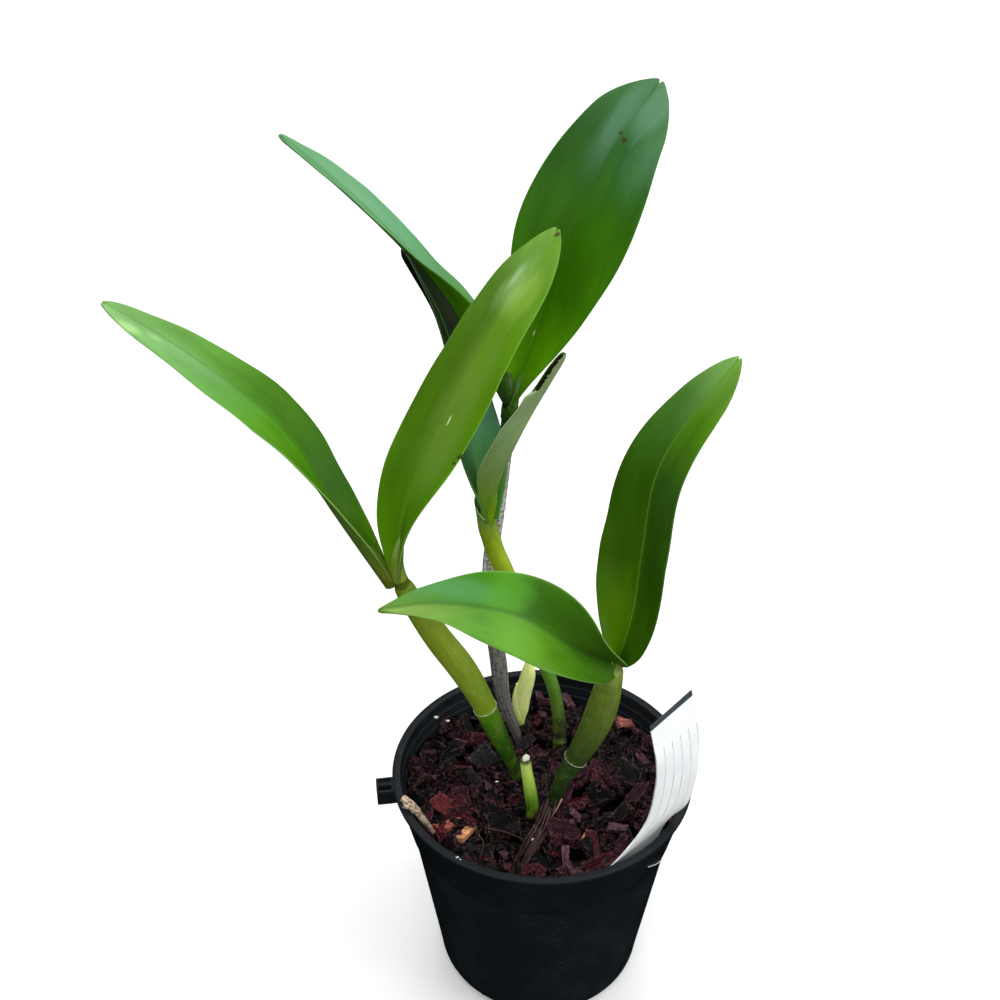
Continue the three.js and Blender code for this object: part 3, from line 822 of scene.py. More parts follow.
@dataclass(frozen=True)
class SkinFinish:
    """Stem skin, fresh or dry: smooth, faintly streaked along its length, and scuffed.

    Fresh skin is satin, with remains of a papery sheath as pale scuffs. Dry skin is matte, cracked
    and mottled.
    """

    along: Stops
    mottle: str
    mottle_share: float
    mottle_mm: float = 7.0
    scuff: str = "#dfe6c4"
    scuff_share: float = 0.7
    scuff_mm: float = 1.6
    streak: float = 0.12
    streak_mm: float = 0.7
    roughness: Pair = (0.36, 0.5)
    relief_mm: float = 0.12

    def material(self, name: str) -> Material:
        """Builds the skin's material.

        Args:
            name: Its name.

        Returns:
            The material, which reads "share" from the piece.
        """
        shader = Shader(name)
        add = shader.add
        streaks = shader.skin_grain(self.streak_mm, self.streak_mm * 22)
        mottling = shader.solid_grain(self.mottle_mm, 4.0, 0.6)
        worn = shader.skin_grain(self.scuff_mm * 0.22, self.scuff_mm, 4.0, 0.65, turn=0.5)
        worn_where = shader.solid_grain(9.0)
        colour = add(Step.RAMP, add(Step.VALUE, attribute_name="share"), stops=self.along)
        colour = add(Step.SHADED, colour, add(Step.SPAN, streaks, *MIDDLE, 1 - self.streak, 1 + self.streak))
        mottled = add(Step.SPAN, mottling, 0.47, 0.6, 0.0, self.mottle_share)
        colour = add(Step.BLEND, mottled, colour, self.mottle)
        scuffs = add(Step.TIMES, add(Step.SPAN, worn, 0.6, 0.66), add(Step.SPAN, worn_where, 0.45, 0.65))
        colour = add(Step.BLEND, add(Step.TIMES, scuffs, self.scuff_share), colour, self.scuff)
        rough = add(Step.SPAN, mottling, *MIDDLE, *self.roughness)
        height = shader.weighed(streaks, 0.7, scuffs, 0.4)
        return shader.finish(colour, rough, height, self.relief_mm, IOR=1.45)


@dataclass(frozen=True)
class BarkFinish:
    """Pine bark, composted and damp: red-brown to black chips with a fibrous grain.

    Each chip keeps its own colour, its fibres run along it as fine light and dark lines, and its
    faces are matte with a faint damp shine in the dark ones.
    """

    fibre_mm: Pair = (7.0, 0.5)
    pit_mm: float = 1.3
    patch_mm: float = 5.0
    weathered: str = "#5c424c"
    broken: str = "#7c5c5c"
    relief_mm: float = 0.45

    def material(self, name: str) -> Material:
        """Builds the bark's material, which reads "bark_colour" and "rim" from the chips.

        Args:
            name: Its name.

        Returns:
            The material.
        """
        shader = Shader(name)
        add = shader.add
        fibres = shader.skin_grain(*self.fibre_mm, 3.0, 0.6)
        pits = shader.solid_grain(self.pit_mm, 4.0, 0.65)
        patches = shader.solid_grain(self.patch_mm)
        colour = add(Step.OWN_COLOUR, attribute_name="bark_colour")
        colour = add(Step.SHADED, colour, add(Step.SPAN, fibres, *MIDDLE, 0.55, 1.4))
        colour = add(Step.SHADED, colour, add(Step.SPAN, pits, 0.32, 0.6, 0.4, 1.15))
        patchy = add(Step.SPAN, patches, 0.45, 0.7, 0.0, 0.15)
        dusty = add(Step.TIMES, add(Step.SPAN, fibres, 0.55, 0.75), patchy)
        colour = add(Step.BLEND, dusty, colour, self.weathered)
        rim = add(Step.VALUE, attribute_name="rim")
        edge = add(Step.TIMES, rim, add(Step.SPAN, pits, 0.45, 0.62, 0.0, 0.32))
        colour = add(Step.BLEND, edge, colour, self.broken)
        rough = add(Step.SPAN, patches, 0.35, 0.65, 0.32, 0.7)
        height = shader.weighed(fibres, 0.6, pits, 0.4)
        return shader.finish(colour, rough, height, self.relief_mm, IOR=1.5, Specular_IOR_Level=0.1)


@dataclass(frozen=True)
class CrumbFinish:
    """The crumbs and fines of the same bark, each one plain tone between black and red-brown."""

    tones: Stops
    pit_mm: float = 0.7
    relief_mm: float = 0.4

    def material(self, name: str) -> Material:
        """Builds the crumbs' material, which reads "tone" from them.

        Args:
            name: Its name.

        Returns:
            The material.
        """
        shader = Shader(name)
        add = shader.add
        pits = shader.solid_grain(self.pit_mm, 4.0, 0.65)
        colour = add(Step.RAMP, add(Step.VALUE, attribute_name="tone"), stops=self.tones)
        colour = add(Step.SHADED, colour, add(Step.SPAN, pits, *MIDDLE, 0.6, 1.3))
        rough = add(Step.SPAN, pits, *MIDDLE, 0.6, 0.85)
        return shader.finish(colour, rough, pits, self.relief_mm, IOR=1.5, Specular_IOR_Level=0.1)


@dataclass(frozen=True)
class PotPlasticFinish:
    """Polypropylene, injection moulded, black: a soft satin skin.

    Potting dust lies on it in faint patches, handling has left fine pale scratches, and the
    moulded skin has a slight orange peel.
    """

    plastic: str = "#171b1e"
    dust: str = "#5a6163"
    dust_share: float = 0.16
    dust_mm: float = 22.0
    speck_mm: float = 0.8
    scratch: str = "#8f979a"
    scratch_mm: Pair = (14.0, 0.5)
    roughness: Pair = (0.34, 0.52)
    peel_mm: float = 1.6
    relief_mm: float = 0.05

    def material(self, name: str) -> Material:
        """Builds the plastic's material.

        Args:
            name: Its name.

        Returns:
            The material.
        """
        shader = Shader(name)
        add = shader.add
        patches = shader.solid_grain(self.dust_mm, 4.0, 0.6)
        specks = add(Step.SPAN, shader.solid_grain(self.speck_mm, 3.0, 0.7), 0.5, 0.75, 0.2, 1.0)
        dust = add(Step.TIMES, add(Step.SPAN, patches, 0.45, 0.7, 0.1, 1.0), specks)
        colour = add(Step.BLEND, add(Step.TIMES, dust, self.dust_share), self.plastic, self.dust)
        lines = add(Step.SPAN, shader.skin_grain(*self.scratch_mm, turn=0.35), 0.7, 0.74)
        scratches = add(Step.TIMES, lines, add(Step.SPAN, patches, 0.4, 0.6, 0.0, 0.3))
        colour = add(Step.BLEND, scratches, colour, self.scratch)
        rough = add(Step.PLUS, add(Step.SPAN, patches, *MIDDLE, *self.roughness), add(Step.TIMES, dust, 0.1))
        peel = shader.solid_grain(self.peel_mm)
        return shader.finish(colour, rough, peel, self.relief_mm, IOR=1.49, Specular_IOR_Level=0.12)


@dataclass(frozen=True)
class LabelFinish:
    """Polystyrene label strip, extruded, white: smooth and satin.

    A dark bar runs along the cut end, and faint ruled lines run down the strip for writing on.
    """

    white: str = "#fbfeff"
    bar: str = "#3c4448"
    bar_mm: float = 2.2
    ruling: str = "#a9b4ba"
    ruling_from_mm: float = 14.0
    line_gap_mm: float = 4.4
    line_mm: float = 0.3
    smudge_mm: float = 9.0
    peel_mm: float = 1.2
    relief_mm: float = 0.02

    def material(self, name: str, length: float) -> Material:
        """Builds the label's material.

        Args:
            name: Its name.
            length: The strip's length in millimetres.

        Returns:
            The material, which reads the UV map in millimetres from the strip.
        """
        shader = Shader(name)
        add = shader.add
        skin = add(Step.SKIN)
        from_end = add(Step.MINUS, length, add(Step.ALONG, skin))
        smudge = shader.solid_grain(self.smudge_mm, 3.0)
        phase = add(Step.TO_AND_FRO, add(Step.ACROSS, skin), self.line_gap_mm / 2)
        line = add(Step.SPAN, phase, self.line_mm * 0.4, self.line_mm, 1.0, 0.0)
        below_top = add(Step.SPAN, from_end, self.ruling_from_mm, self.ruling_from_mm + 0.4)
        ruled = add(Step.TIMES, line, below_top)
        # Blended with itself, the colour is a socket that the next step can shade.
        white = add(Step.BLEND, 0.0, self.white, self.white)
        colour = add(Step.SHADED, white, add(Step.SPAN, smudge, *MIDDLE, 0.95, 1.02))
        worn = add(Step.TIMES, ruled, add(Step.SPAN, smudge, 0.4, 0.6, 0.35, 0.8))
        colour = add(Step.BLEND, worn, colour, self.ruling)
        bar = add(Step.SPAN, from_end, self.bar_mm - 0.15, self.bar_mm + 0.15, 1.0, 0.0)
        colour = add(Step.BLEND, bar, colour, self.bar)
        rough = add(Step.SPAN, smudge, *MIDDLE, 0.32, 0.48)
        return shader.finish(colour, rough, shader.solid_grain(self.peel_mm), self.relief_mm, IOR=1.5)


class Skins(Enum):
    """The skins of the stems and of the dry plant remains."""

    LEFT_BULB = SkinFinish(
        {
            0: "#0f1c08", 0.1: "#162a06", 0.3: "#2f5e0b", 0.385: "#437c0f", 0.41: "#7a9a24", 0.7: "#8ea430",
            0.95: "#7f9c2c", 1: "#5c7a1c",
        }, "#728c1a", 0.3,
    )
    RIGHT_BULB = SkinFinish(
        {0: "#121f0a", 0.3: "#243c14", 0.36: "#2e4216", 0.5: "#445820", 0.8: "#627828", 1: "#7c9038"},
        "#445c1c", 0.4, mottle_mm=6.0, scuff="#cfd8b8", scuff_share=0.8,
    )
    MIDDLE_BULB = SkinFinish(
        {
            0: "#14140c", 0.1: "#1f1c14", 0.16: "#2c3418", 0.26: "#3c5a1c", 0.42: "#4f8a24",
            0.66: "#8aa824", 0.85: "#a8c02c", 1: "#8aac20",
        }, "#6c941c", 0.25,
    )
    OLD_BULB = SkinFinish(
        {
            0: "#3c3834", 0.2: "#787470", 0.45: "#908e8a", 0.56: "#c2c4bc", 0.9: "#bcbeb2", 0.93: "#2f5a14",
            1: "#3c6c1c",
        }, "#48524a", 0.75, mottle_mm=1.3, scuff="#dfe4dc", scuff_share=0.8, streak=0.35,
        roughness=(0.7, 0.9), relief_mm=0.4,
    )
    # A pale yellow-green shoot, its ramp brighter still as painted light, for the light that falls on it
    # from above.
    FRESH_SHOOT = SkinFinish(
        {0: "#4c4c24", 0.12: "#b4cc54", 0.24: "#e8ff8c", 0.6: "#f8ffac", 1: "#f0ff94"}, "#cdec7c", 0.3,
        streak=0.03, relief_mm=0.05,
    )
    CUT_SHOOT = SkinFinish(
        {
            0: "#080b03", 0.22: "#141f05", 0.45: "#4c7410", 0.75: "#a8cc50", 0.93: "#bcd474",
            0.96: "#2c241c", 1: "#2c241c",
        }, "#94bc3c", 0.3,
    )
    FRONT_STALK = SkinFinish(
        {0: "#6c8424", 0.16: "#4c5c14", 0.19: "#8a9c38", 0.5: "#6f8a30", 1: "#7a9a54"}, "#5c7a1c", 0.25,
        scuff="#a4b884", scuff_share=0.3,
    )
    OUTER_STALK = SkinFinish({0: "#5c6418", 0.5: "#66762a", 1: "#6c8838"}, "#4c5c14", 0.3)
    BRIGHT_STALK = SkinFinish({0: "#4c7408", 0.4: "#82a818", 0.7: "#749828", 1: "#66803a"}, "#6c9410", 0.3)
    PALE_STALK = SkinFinish({0: "#5c8a34", 0.5: "#6f9c58", 1: "#4f841c"}, "#5c8c3c", 0.3)
    DARK_STALK = SkinFinish({0: "#1c3a08", 0.45: "#3a5c24", 1: "#3c6a14"}, "#2c4c14", 0.4)
    MIDDLE_SHEATH = SkinFinish(
        {0: "#9ab42a", 0.45: "#8aa826", 0.9: "#64843c", 0.955: "#5c7c34", 0.985: "#d4e0b8", 1: "#dce8c4"},
        "#6c941c", 0.25,
    )
    PAPER = SkinFinish(
        {0: "#b9b49a", 1: "#e9e6d6"}, "#d9d6c2", 0.5, mottle_mm=1.5, scuff="#ffffff", scuff_share=0.5,
        roughness=(0.7, 0.85), relief_mm=0.15,
    )
    DRY_ROOT = SkinFinish(
        {0: "#c9b79c", 0.3: "#b8a48a", 1: "#7a6660"}, "#4c3a30", 0.8, mottle_mm=1.4, scuff="#ece2d2",
        scuff_share=0.8, streak=0.4, streak_mm=0.6, roughness=(0.75, 0.9), relief_mm=0.5,
    )
    OLD_SHEATH = SkinFinish(
        {0: "#5c4642", 0.4: "#3c2828", 1: "#30201f"}, "#1c1214", 0.6, mottle_mm=1.2, scuff="#8d6f62",
        scuff_share=0.4, streak=0.4, streak_mm=0.4, roughness=(0.75, 0.9), relief_mm=0.3,
    )
    STRAW = SkinFinish(
        {0: "#b48a6c", 1: "#7a5a4c"}, "#94705a", 0.5, mottle_mm=1.5, scuff="#d4b498", scuff_share=0.5,
        roughness=(0.6, 0.8),
    )
    WHITE_CRUMB = SkinFinish(
        {0: "#c4c8c8", 1: "#dfe4e4"}, "#9aa0a0", 0.4, mottle_mm=0.8, scuff="#ffffff", scuff_share=0.5,
        roughness=(0.7, 0.9),
    )


class BarkTone(Enum):
    """The colours that whole chips come in."""

    PURPLE = "#2c131c"
    RED = "#3a121b"
    BRIGHT_RED = "#5a2024"
    DARK = "#0a0506"
    BLACK = "#030405"
    STONE = "#17181b"
    MAUVE = "#523642"
    CORAL = "#9c5648"
    PINK = "#a8685e"
    PALE = "#d89c6c"


COMMON_TONES = (
    (BarkTone.PURPLE, 16), (BarkTone.DARK, 24), (BarkTone.RED, 9), (BarkTone.BLACK, 50),
    (BarkTone.MAUVE, 10), (BarkTone.STONE, 6), (BarkTone.BRIGHT_RED, 2),
)


# Mostly near black: the fines' own dark brown, and painted shade in the crevices between the chips.
FINES_AND_CREVICE_SHADE = {
    0: "#030303", 0.55: "#070506", 0.78: "#12090c", 0.92: "#2a141a", 0.98: "#4a2a2e", 1: "#80604e",
}


# ---- pot


@dataclass
class NurseryPot:
    """The pot: rounded foot, tapered body, shoulder, collar, flat lip and label socket."""

    height: float = 110.0
    rim_radius: float = 65.0
    lip_width: float = 3.6
    lip_thickness: float = 1.8
    collar_top_radius: float = 63.6
    collar_height: float = 25.5
    collar_foot_radius: float = 58.4
    body_top_radius: float = 57.2
    shoulder_drop: float = 1.4
    body_foot_radius: float = 46.0
    fillet_height: float = 9.0
    foot_radius: float = 39.0
    wall: float = 1.6
    floor: float = 1.8
    sides: int = 192
    drains: int = 8
    drain_radius: float = 4.5
    drain_circle: float = 26.0
    socket_angle: float = 191.0
    socket_reach: float = 72.0
    socket_size: Triple = (8.2, 9.0, 7.5)
    finish: PotPlasticFinish = field(default_factory=PotPlasticFinish)

    def inside(self, z: Array) -> Array:
        """The pot's inner radius at heights above its floor.

        Args:
            z: The heights.

        Returns:
            One radius for each height.
        """
        foot, top = self.height - self.collar_height, self.height - self.lip_thickness
        body = (self.body_foot_radius, self.body_top_radius)
        collar = (self.collar_foot_radius, self.collar_top_radius)
        return np.interp(z, (self.fillet_height, foot - 0.01, foot, top), body + collar) - self.wall

    def profile(self) -> list[Pair]:
        """The turned outline, from the axis under the floor round to the axis above it.

        Returns:
            The outline's radii and heights.
        """
        collar, lip = self.height - self.collar_height, self.height - self.lip_thickness
        rim = self.rim_radius
        inner = rim - self.lip_width
        turns = np.radians(np.linspace(0, 90, 9)[:-1])
        spread = self.body_foot_radius - self.foot_radius
        foot = [
            (self.foot_radius + spread * math.sin(a), self.fillet_height * (1 - math.cos(a))) for a in turns
        ]
        soft = 0.35
        outside = [
            *foot, (self.body_foot_radius, self.fillet_height),
            (self.body_top_radius - 0.1, collar - self.shoulder_drop - 0.8),
            (self.body_top_radius, collar - self.shoulder_drop),
            (self.collar_foot_radius - 0.3, collar - 0.35), (self.collar_foot_radius, collar + 0.2),
            (self.collar_top_radius, lip - 0.2), (self.collar_top_radius + 0.3, lip), (rim - soft, lip),
            (rim - 0.08, lip + 0.12), (rim, lip + soft), (rim, self.height - soft),
            (rim - 0.1, self.height - 0.1), (rim - soft, self.height),
        ]
        ledge = [
            point
            for z in (lip - 4.2, lip - 8.6)
            for point in (
                (self.inside(z + 0.5), z + 0.5), (self.inside(z) - 0.45, z + 0.15),
                (self.inside(z) - 0.45, z - 0.15), (self.inside(z - 0.5), z - 0.5),
            )
        ]
        inside = [
            (inner + soft, self.height), (inner + 0.1, self.height - 0.1), (inner, self.height - soft),
            (inner, lip - 1.2), (self.inside(lip - 2.0) + 0.1, lip - 2.0), *ledge,
            (self.inside(collar), collar),
            (self.inside(collar - self.shoulder_drop), collar - self.shoulder_drop),
            (self.inside(self.fillet_height), self.fillet_height),
            (self.foot_radius + 1.5, self.floor + 1.2), (self.foot_radius - 1.5, self.floor),
        ]
        return [(0.0, 0.0), *[(float(r), float(z)) for r, z in outside + inside], (0.0, self.floor)]

    def shell(self) -> Piece:
        """Turns the outline round the pot's axis.

        Returns:
            The pot without its holes.
        """
        profile = np.array(self.profile())
        turned = profile[1:-1]
        angle = angles_round(self.sides)
        height = np.broadcast_to(turned[:, 1:], (len(turned), self.sides))
        rings = np.stack([turned[:, :1] * np.cos(angle), turned[:, :1] * np.sin(angle), height], axis=-1)
        ends = [np.array([0.0, 0.0, z]) for z in profile[[0, -1], 1]]
        travel = np.concatenate([[0.0], np.cumsum(np.hypot(*np.diff(turned, axis=0).T))])
        return face_outwards(closed_skin("nursery_pot", rings, ends, travel, self.rim_radius * math.tau))

    def drain_tools(self) -> list[Piece]:
        """The rods that leave the drainage holes in the floor.

        Returns:
            The rods.
        """
        tools = []
        for angle in angles_round(self.drains):
            x, y = self.drain_circle * math.cos(angle), self.drain_circle * math.sin(angle)
            line = Path([(x, y, -4.0), (x, y, 0.0), (x, y, 6.0)])
            tools.append(tube("drain", line, np.array([0.0, 1.0]), np.full(2, self.drain_radius)))
        return tools

    def block(self, name: str, size: Triple, centre: Triple, soften: float) -> Piece:
        """A box on the socket's own axes, with softened edges.

        Args:
            name: Its name.
            size: Its length outwards, its width round the rim and its height.
            centre: Its centre before it is turned to the socket's place.
            soften: The radius of its edges.

        Returns:
            The box as a plain mesh in place.
        """
        box = bmesh.new()
        bmesh.ops.create_cube(box, size=1.0)
        turn = math.radians(self.socket_angle)
        c, s = math.cos(turn), math.sin(turn)
        for point in box.verts:
            point.co = Vector([part * full for part, full in zip(point.co, size)])
        if soften:
            bmesh.ops.bevel(box, geom=box.edges[:], offset=soften, segments=3, affect="EDGES", profile=0.5)
        for point in box.verts:
            x, y, z = point.co + Vector(centre)
            point.co = Vector((x * c - y * s, x * s + y * c, z)) * MM
        mesh = bpy.data.meshes.new(name)
        box.to_mesh(mesh)
        box.free()
        return add_object(name, mesh)

    def socket(self) -> Piece:
        """The label socket: a small block under the lip, with a slot, a step and a dimple.

        Returns:
            The socket, in place.
        """
        length, width, height = self.socket_size
        reach, top = self.socket_reach, self.height - 0.6
        middle = reach - length / 2
        body = self.block("label_socket", self.socket_size, (middle, 0.0, top - height / 2), 0.45)
        slot = self.block("slot", (5.6, 3.0, 10.0), (middle + 0.6, width / 2 - 2.7, top), 0.0)
        step = self.block("step", (5.2, 3.2, 2.4), (middle + 0.4, -width / 2 + 2.4, top), 0.0)
        dimple = self.block("dimple", (0.9, 1.2, 0.9), (middle + 1.2, -width / 2, top - height * 0.62), 0.0)
        return cut(body, [slot, step, dimple])

    def build(self) -> list[Piece]:
        """Makes the pot's two pieces, dressed and in place.

        Returns:
            The pieces.
        """
        plastic = self.finish.material("black_polypropylene_moulded")
        shell = dress(cut(self.shell(), self.drain_tools()), plastic, "pot", "pot")
        shell.data.shade_smooth()
        shell.data.set_sharp_from_angle(angle=math.radians(40))
        return [shell, dress(self.socket(), plastic, "pot")]


# ---- bark


@dataclass(frozen=True)
class MarkedChip:
    """A chip that stands out, with its place, size, turn and tilts."""

    at: Triple
    size: Triple
    turn: float
    tilt: Pair
    tone: BarkTone


MARKED_CHIPS = tuple(
    MarkedChip(*row)
    for row in (
        ((-41, -15, 99), (14, 7.5, 3.4), -20, (24, 18), BarkTone.BRIGHT_RED),
        ((-38, -25, 99), (14, 5.4, 3.6), 38, (10, -12), BarkTone.CORAL),
        ((-31, -29, 99), (12.5, 3.6, 2.6), 62, (8, 0), BarkTone.PALE),
        ((9, -29, 100), (15, 13, 7), 8, (14, -6), BarkTone.PURPLE),
        ((-16, -25, 99), (15, 13, 7), 24, (8, 6), BarkTone.BLACK),
        ((19, -30, 98.6), (6.5, 3.6, 3), 70, (0, 20), BarkTone.PALE),
        ((-25, 15, 98), (14, 12, 3.6), -35, (24, 8), BarkTone.STONE),
        ((2, 12, 97), (13, 12, 5), 60, (20, 6), BarkTone.BLACK),
        ((38, 42, 98.6), (8, 5, 4), 20, (20, 30), BarkTone.PINK),
        ((29, 13, 98), (17, 7, 4), 4, (8, 0), BarkTone.PURPLE),
        ((-38, -6, 97.5), (14, 8, 4), 70, (10, -8), BarkTone.PURPLE),
        ((-51, 18, 98), (13, 8, 4.5), 80, (12, 14), BarkTone.DARK),
        ((39, 7, 99), (14, 11, 5), -30, (10, 10), BarkTone.BLACK),
        ((-6, -49, 98.5), (16, 6, 4.5), 12, (8, 14), BarkTone.RED),
        ((25, -44, 99), (15, 6.5, 4.5), 28, (-8, 12), BarkTone.RED),
    )
)


@dataclass
class BarkMix:
    """The bed of bark: a near-black fill, the chips that cover it, and the crumbs between them, the fill and
    most crumbs painted shade in the crevices.
    """

    pot: NurseryPot
    level: float = 96.5
    chips: int = 58
    chip_length: Pair = (10.0, 19.0)
    chip_width: Pair = (6.0, 10.0)
    chip_thickness: Pair = (3.2, 5.0)
    solid_seed: int = 20
    seed: int = 7
    chip_share: float = 0.74
    small_chips: int = 470
    small_length: Pair = (4.5, 13.0)
    crumbs_per_cm2: float = 7.0
    crumb_drop: float = 5.0
    crumb_rise: float = 2.0
    crumb_size: Pair = (1.0, 3.0)
    crumb_form: Triple = (1.0, 0.62, 0.42)
    crumb_grid: tuple[int, int, int] = (4, 3, 3)
    crumb_lumps: float = 2.2
    crumb_push: float = 0.75
    fill_drop: float = 5.6
    gap: float = 0.4
    grid: tuple[int, int] = (10, 7)
    small_grid: tuple[int, int] = (7, 5)

    def solid_chips(self) -> list[MarkedChip]:
        """The chips of the solid bark, from the same seeded rule, with a tone each.

        Returns:
            The chips.
        """
        draw = seeded_shares(self.solid_seed)
        pick = random.Random(self.seed)
        tones, weights = zip(*COMMON_TONES)
        reach = float(self.pot.inside(self.level)) - 5
        made = []
        for place in range(self.chips):
            radius = reach * math.sqrt((place + 0.5) / self.chips)
            angle = place * math.pi * (3 - math.sqrt(5))
            height = self.level + 0.4 + 2.2 * next(draw)
            spans = (self.chip_length, self.chip_width, self.chip_thickness)
            size = tuple(self.chip_share * (low + (high - low) * next(draw)) for low, high in spans)
            turn = 360 * next(draw)
            tilt = (-26 + 52 * next(draw), -30 + 60 * next(draw))
            at = (radius * math.cos(angle), radius * math.sin(angle), height)
            made.append(MarkedChip(at, size, turn, tilt, pick.choices(tones, weights)[0]))
        return made

    def smaller_chips(self) -> list[MarkedChip]:
        """The smaller chips that fill in between, scattered by a seeded draw.

        Returns:
            The chips.
        """
        pick = random.Random(self.seed + 1)
        tones, weights = zip(*COMMON_TONES)
        reach = float(self.pot.inside(self.level)) - 2.5
        made = []
        for _ in range(self.small_chips):
            radius, angle = reach * math.sqrt(pick.random()), pick.uniform(0, math.tau)
            length = pick.uniform(*self.small_length)
            size = (length, length * pick.uniform(0.28, 0.55), pick.uniform(1.8, 3.6))
            height = self.level + pick.uniform(-2.5, 3.6) + (1.5 if radius > reach - 6 else 0.0)
            tilt = (pick.gauss(0, 20), pick.gauss(0, 28))
            at = (radius * math.cos(angle), radius * math.sin(angle), height)
            made.append(MarkedChip(at, size, pick.uniform(0, 360), tilt, pick.choices(tones, weights)[0]))
        return made

    def chip_shell(self, chip: MarkedChip, seed: float, grid: tuple[int, int]) -> tuple[Array, Array]:
        """One chip: a torn slab with a drawn-in end, a ragged outline and a ridged grain.

        Args:
            chip: Its size, place, turn and tilts.
            seed: Picks its chance shape.
            grid: Its columns and rows of points.

        Returns:
            Its points in place, and their u, v along and across its grain, in millimetres.
        """
        length, width, thickness = chip.size
        x, y = np.meshgrid(*(np.linspace(-0.5, 0.5, count) for count in grid))
        drawn_in = 1 - 0.34 * (x + 0.5) * (0.5 + 0.5 * math.sin(seed * 7.1))
        skew = 0.3 * math.sin(seed * 12.9) * width / length
        outline = 1 + 0.1 * lumps(seed, x, np.zeros_like(x) + np.sign(y), 0.4)
        torn_end = 0.06 * lumps(seed + 3, y, np.sign(x), 0.3) * (2 * np.abs(x)) ** 3
        flat_x = (x + torn_end + skew * y) * length
        flat_y = y * drawn_in * outline * width
        rim = np.maximum(2 * np.abs(x), 2 * np.abs(y))
        thin = (1 - 0.12 * rim**6) * (1 + drawn_in) / 2
        ridges = 0.13 * lumps(seed + 5, y, x * 0.15, 0.12) + 0.08 * lumps(seed + 9, x, y, 0.5)
        bow = 0.1 * lumps(seed + 11, x, y, 0.9) * length * 0.2
        upper = np.stack([flat_x, flat_y, bow + thickness * (0.5 * thin + ridges)], axis=-1).reshape(-1, 3)
        under = 0.08 * lumps(seed + 7, x, y, 0.3)
        lower = np.stack([flat_x, flat_y, bow - thickness * (0.5 * thin - under)], axis=-1).reshape(-1, 3)
        points = np.vstack([upper, lower])
        uv = points[:, :2] + seed * 3.7
        pitch, roll, turn = (math.radians(a) for a in (*chip.tilt, chip.turn))
        rotation = np.array(Euler((roll, pitch, turn)).to_matrix())
        return self.within_wall(points @ rotation.T + np.array(chip.at)), uv

    def within_wall(self, points: Array) -> Array:
        """Points pushed in until they are clear of the pot's wall.

        Args:
            points: The points, by row.

        Returns:
            The points, as far in as they have to be.
        """
        radius = np.hypot(points[:, 0], points[:, 1])
        lip = self.pot.rim_radius - self.pot.lip_width
        limit = np.minimum(self.pot.inside(points[:, 2]), lip) - self.gap
        share = np.minimum(1.0, limit / np.maximum(radius, 1e-6))
        return points * np.stack([share, share, np.ones_like(share)], axis=1)

    def chip_piece(self, name: str, chips: Sequence[MarkedChip], grid: tuple[int, int]) -> Piece:
        """Many chips as one piece.

        Args:
            name: Its name.
            chips: The chips.
            grid: The columns and rows of points of each chip.

        Returns:
            The piece, with "bark_colour" for each chip.
        """
        one = sheet_faces(grid[1], grid[0])
        near_rim = np.maximum(*np.abs(np.meshgrid(*(np.linspace(-1, 1, count) for count in grid))))
        points, uv, faces, colours = [], [], [], []
        for count, chip in enumerate(chips):
            shell, grain = self.chip_shell(chip, count * 1.37, grid)
            start = count * len(shell)
            points.append(shell)
            uv.append(grain)
            faces += [tuple(start + corner for corner in face) for face in one]
            colours += [linear(chip.tone.value)[:3]] * len(shell)
        values = {"bark_colour": np.array(colours), "rim": np.tile(near_rim.ravel() ** 5, 2 * len(chips))}
        return face_outwards(make_piece(name, np.vstack(points), faces, np.vstack(uv), values, smooth=False))

    def fill(self) -> Piece:
        """The fill under the chips, near black as painted shade in the gaps, with a rough top and clear of
        the pot's wall.

        Returns:
            The fill.
        """
        sides, rings = 120, 26
        angle = angles_round(sides)
        pot = self.pot
        collar = pot.height - pot.collar_height
        top_z = self.level - self.fill_drop
        wall = [pot.fillet_height, collar - pot.shoulder_drop, collar, top_z]
        outline = [(pot.foot_radius - 1.5, pot.floor + self.gap), (pot.foot_radius + 1.2, pot.floor + 1.8)]
        outline += [(float(pot.inside(z)) - self.gap, z) for z in wall]
        reach = outline[-1][0]
        outline += [(reach * (1 - step / rings), top_z) for step in range(1, rings)]
        rings = np.array([[(r * math.cos(a), r * math.sin(a), z) for a in angle] for r, z in outline])
        x, y, z = rings[..., 0], rings[..., 1], rings[..., 2]
        rough = 1.6 * lumps(2.0, x, y, 4.0) + 0.8 * lumps(4.0, x, y, 1.6)
        rings[..., 2] = np.where(z > top_z - 0.1, z + rough, z)
        ends = (np.array([0, 0, outline[0][1]]), np.array([0, 0, top_z]))
        # A near-black tone: painted shade in the gaps between the chips.
        values = {"tone": np.full(rings.shape[:2], 0.12)}
        return face_outwards(closed_skin("bark_fill", rings, ends, [z for _, z in outline], reach, values))

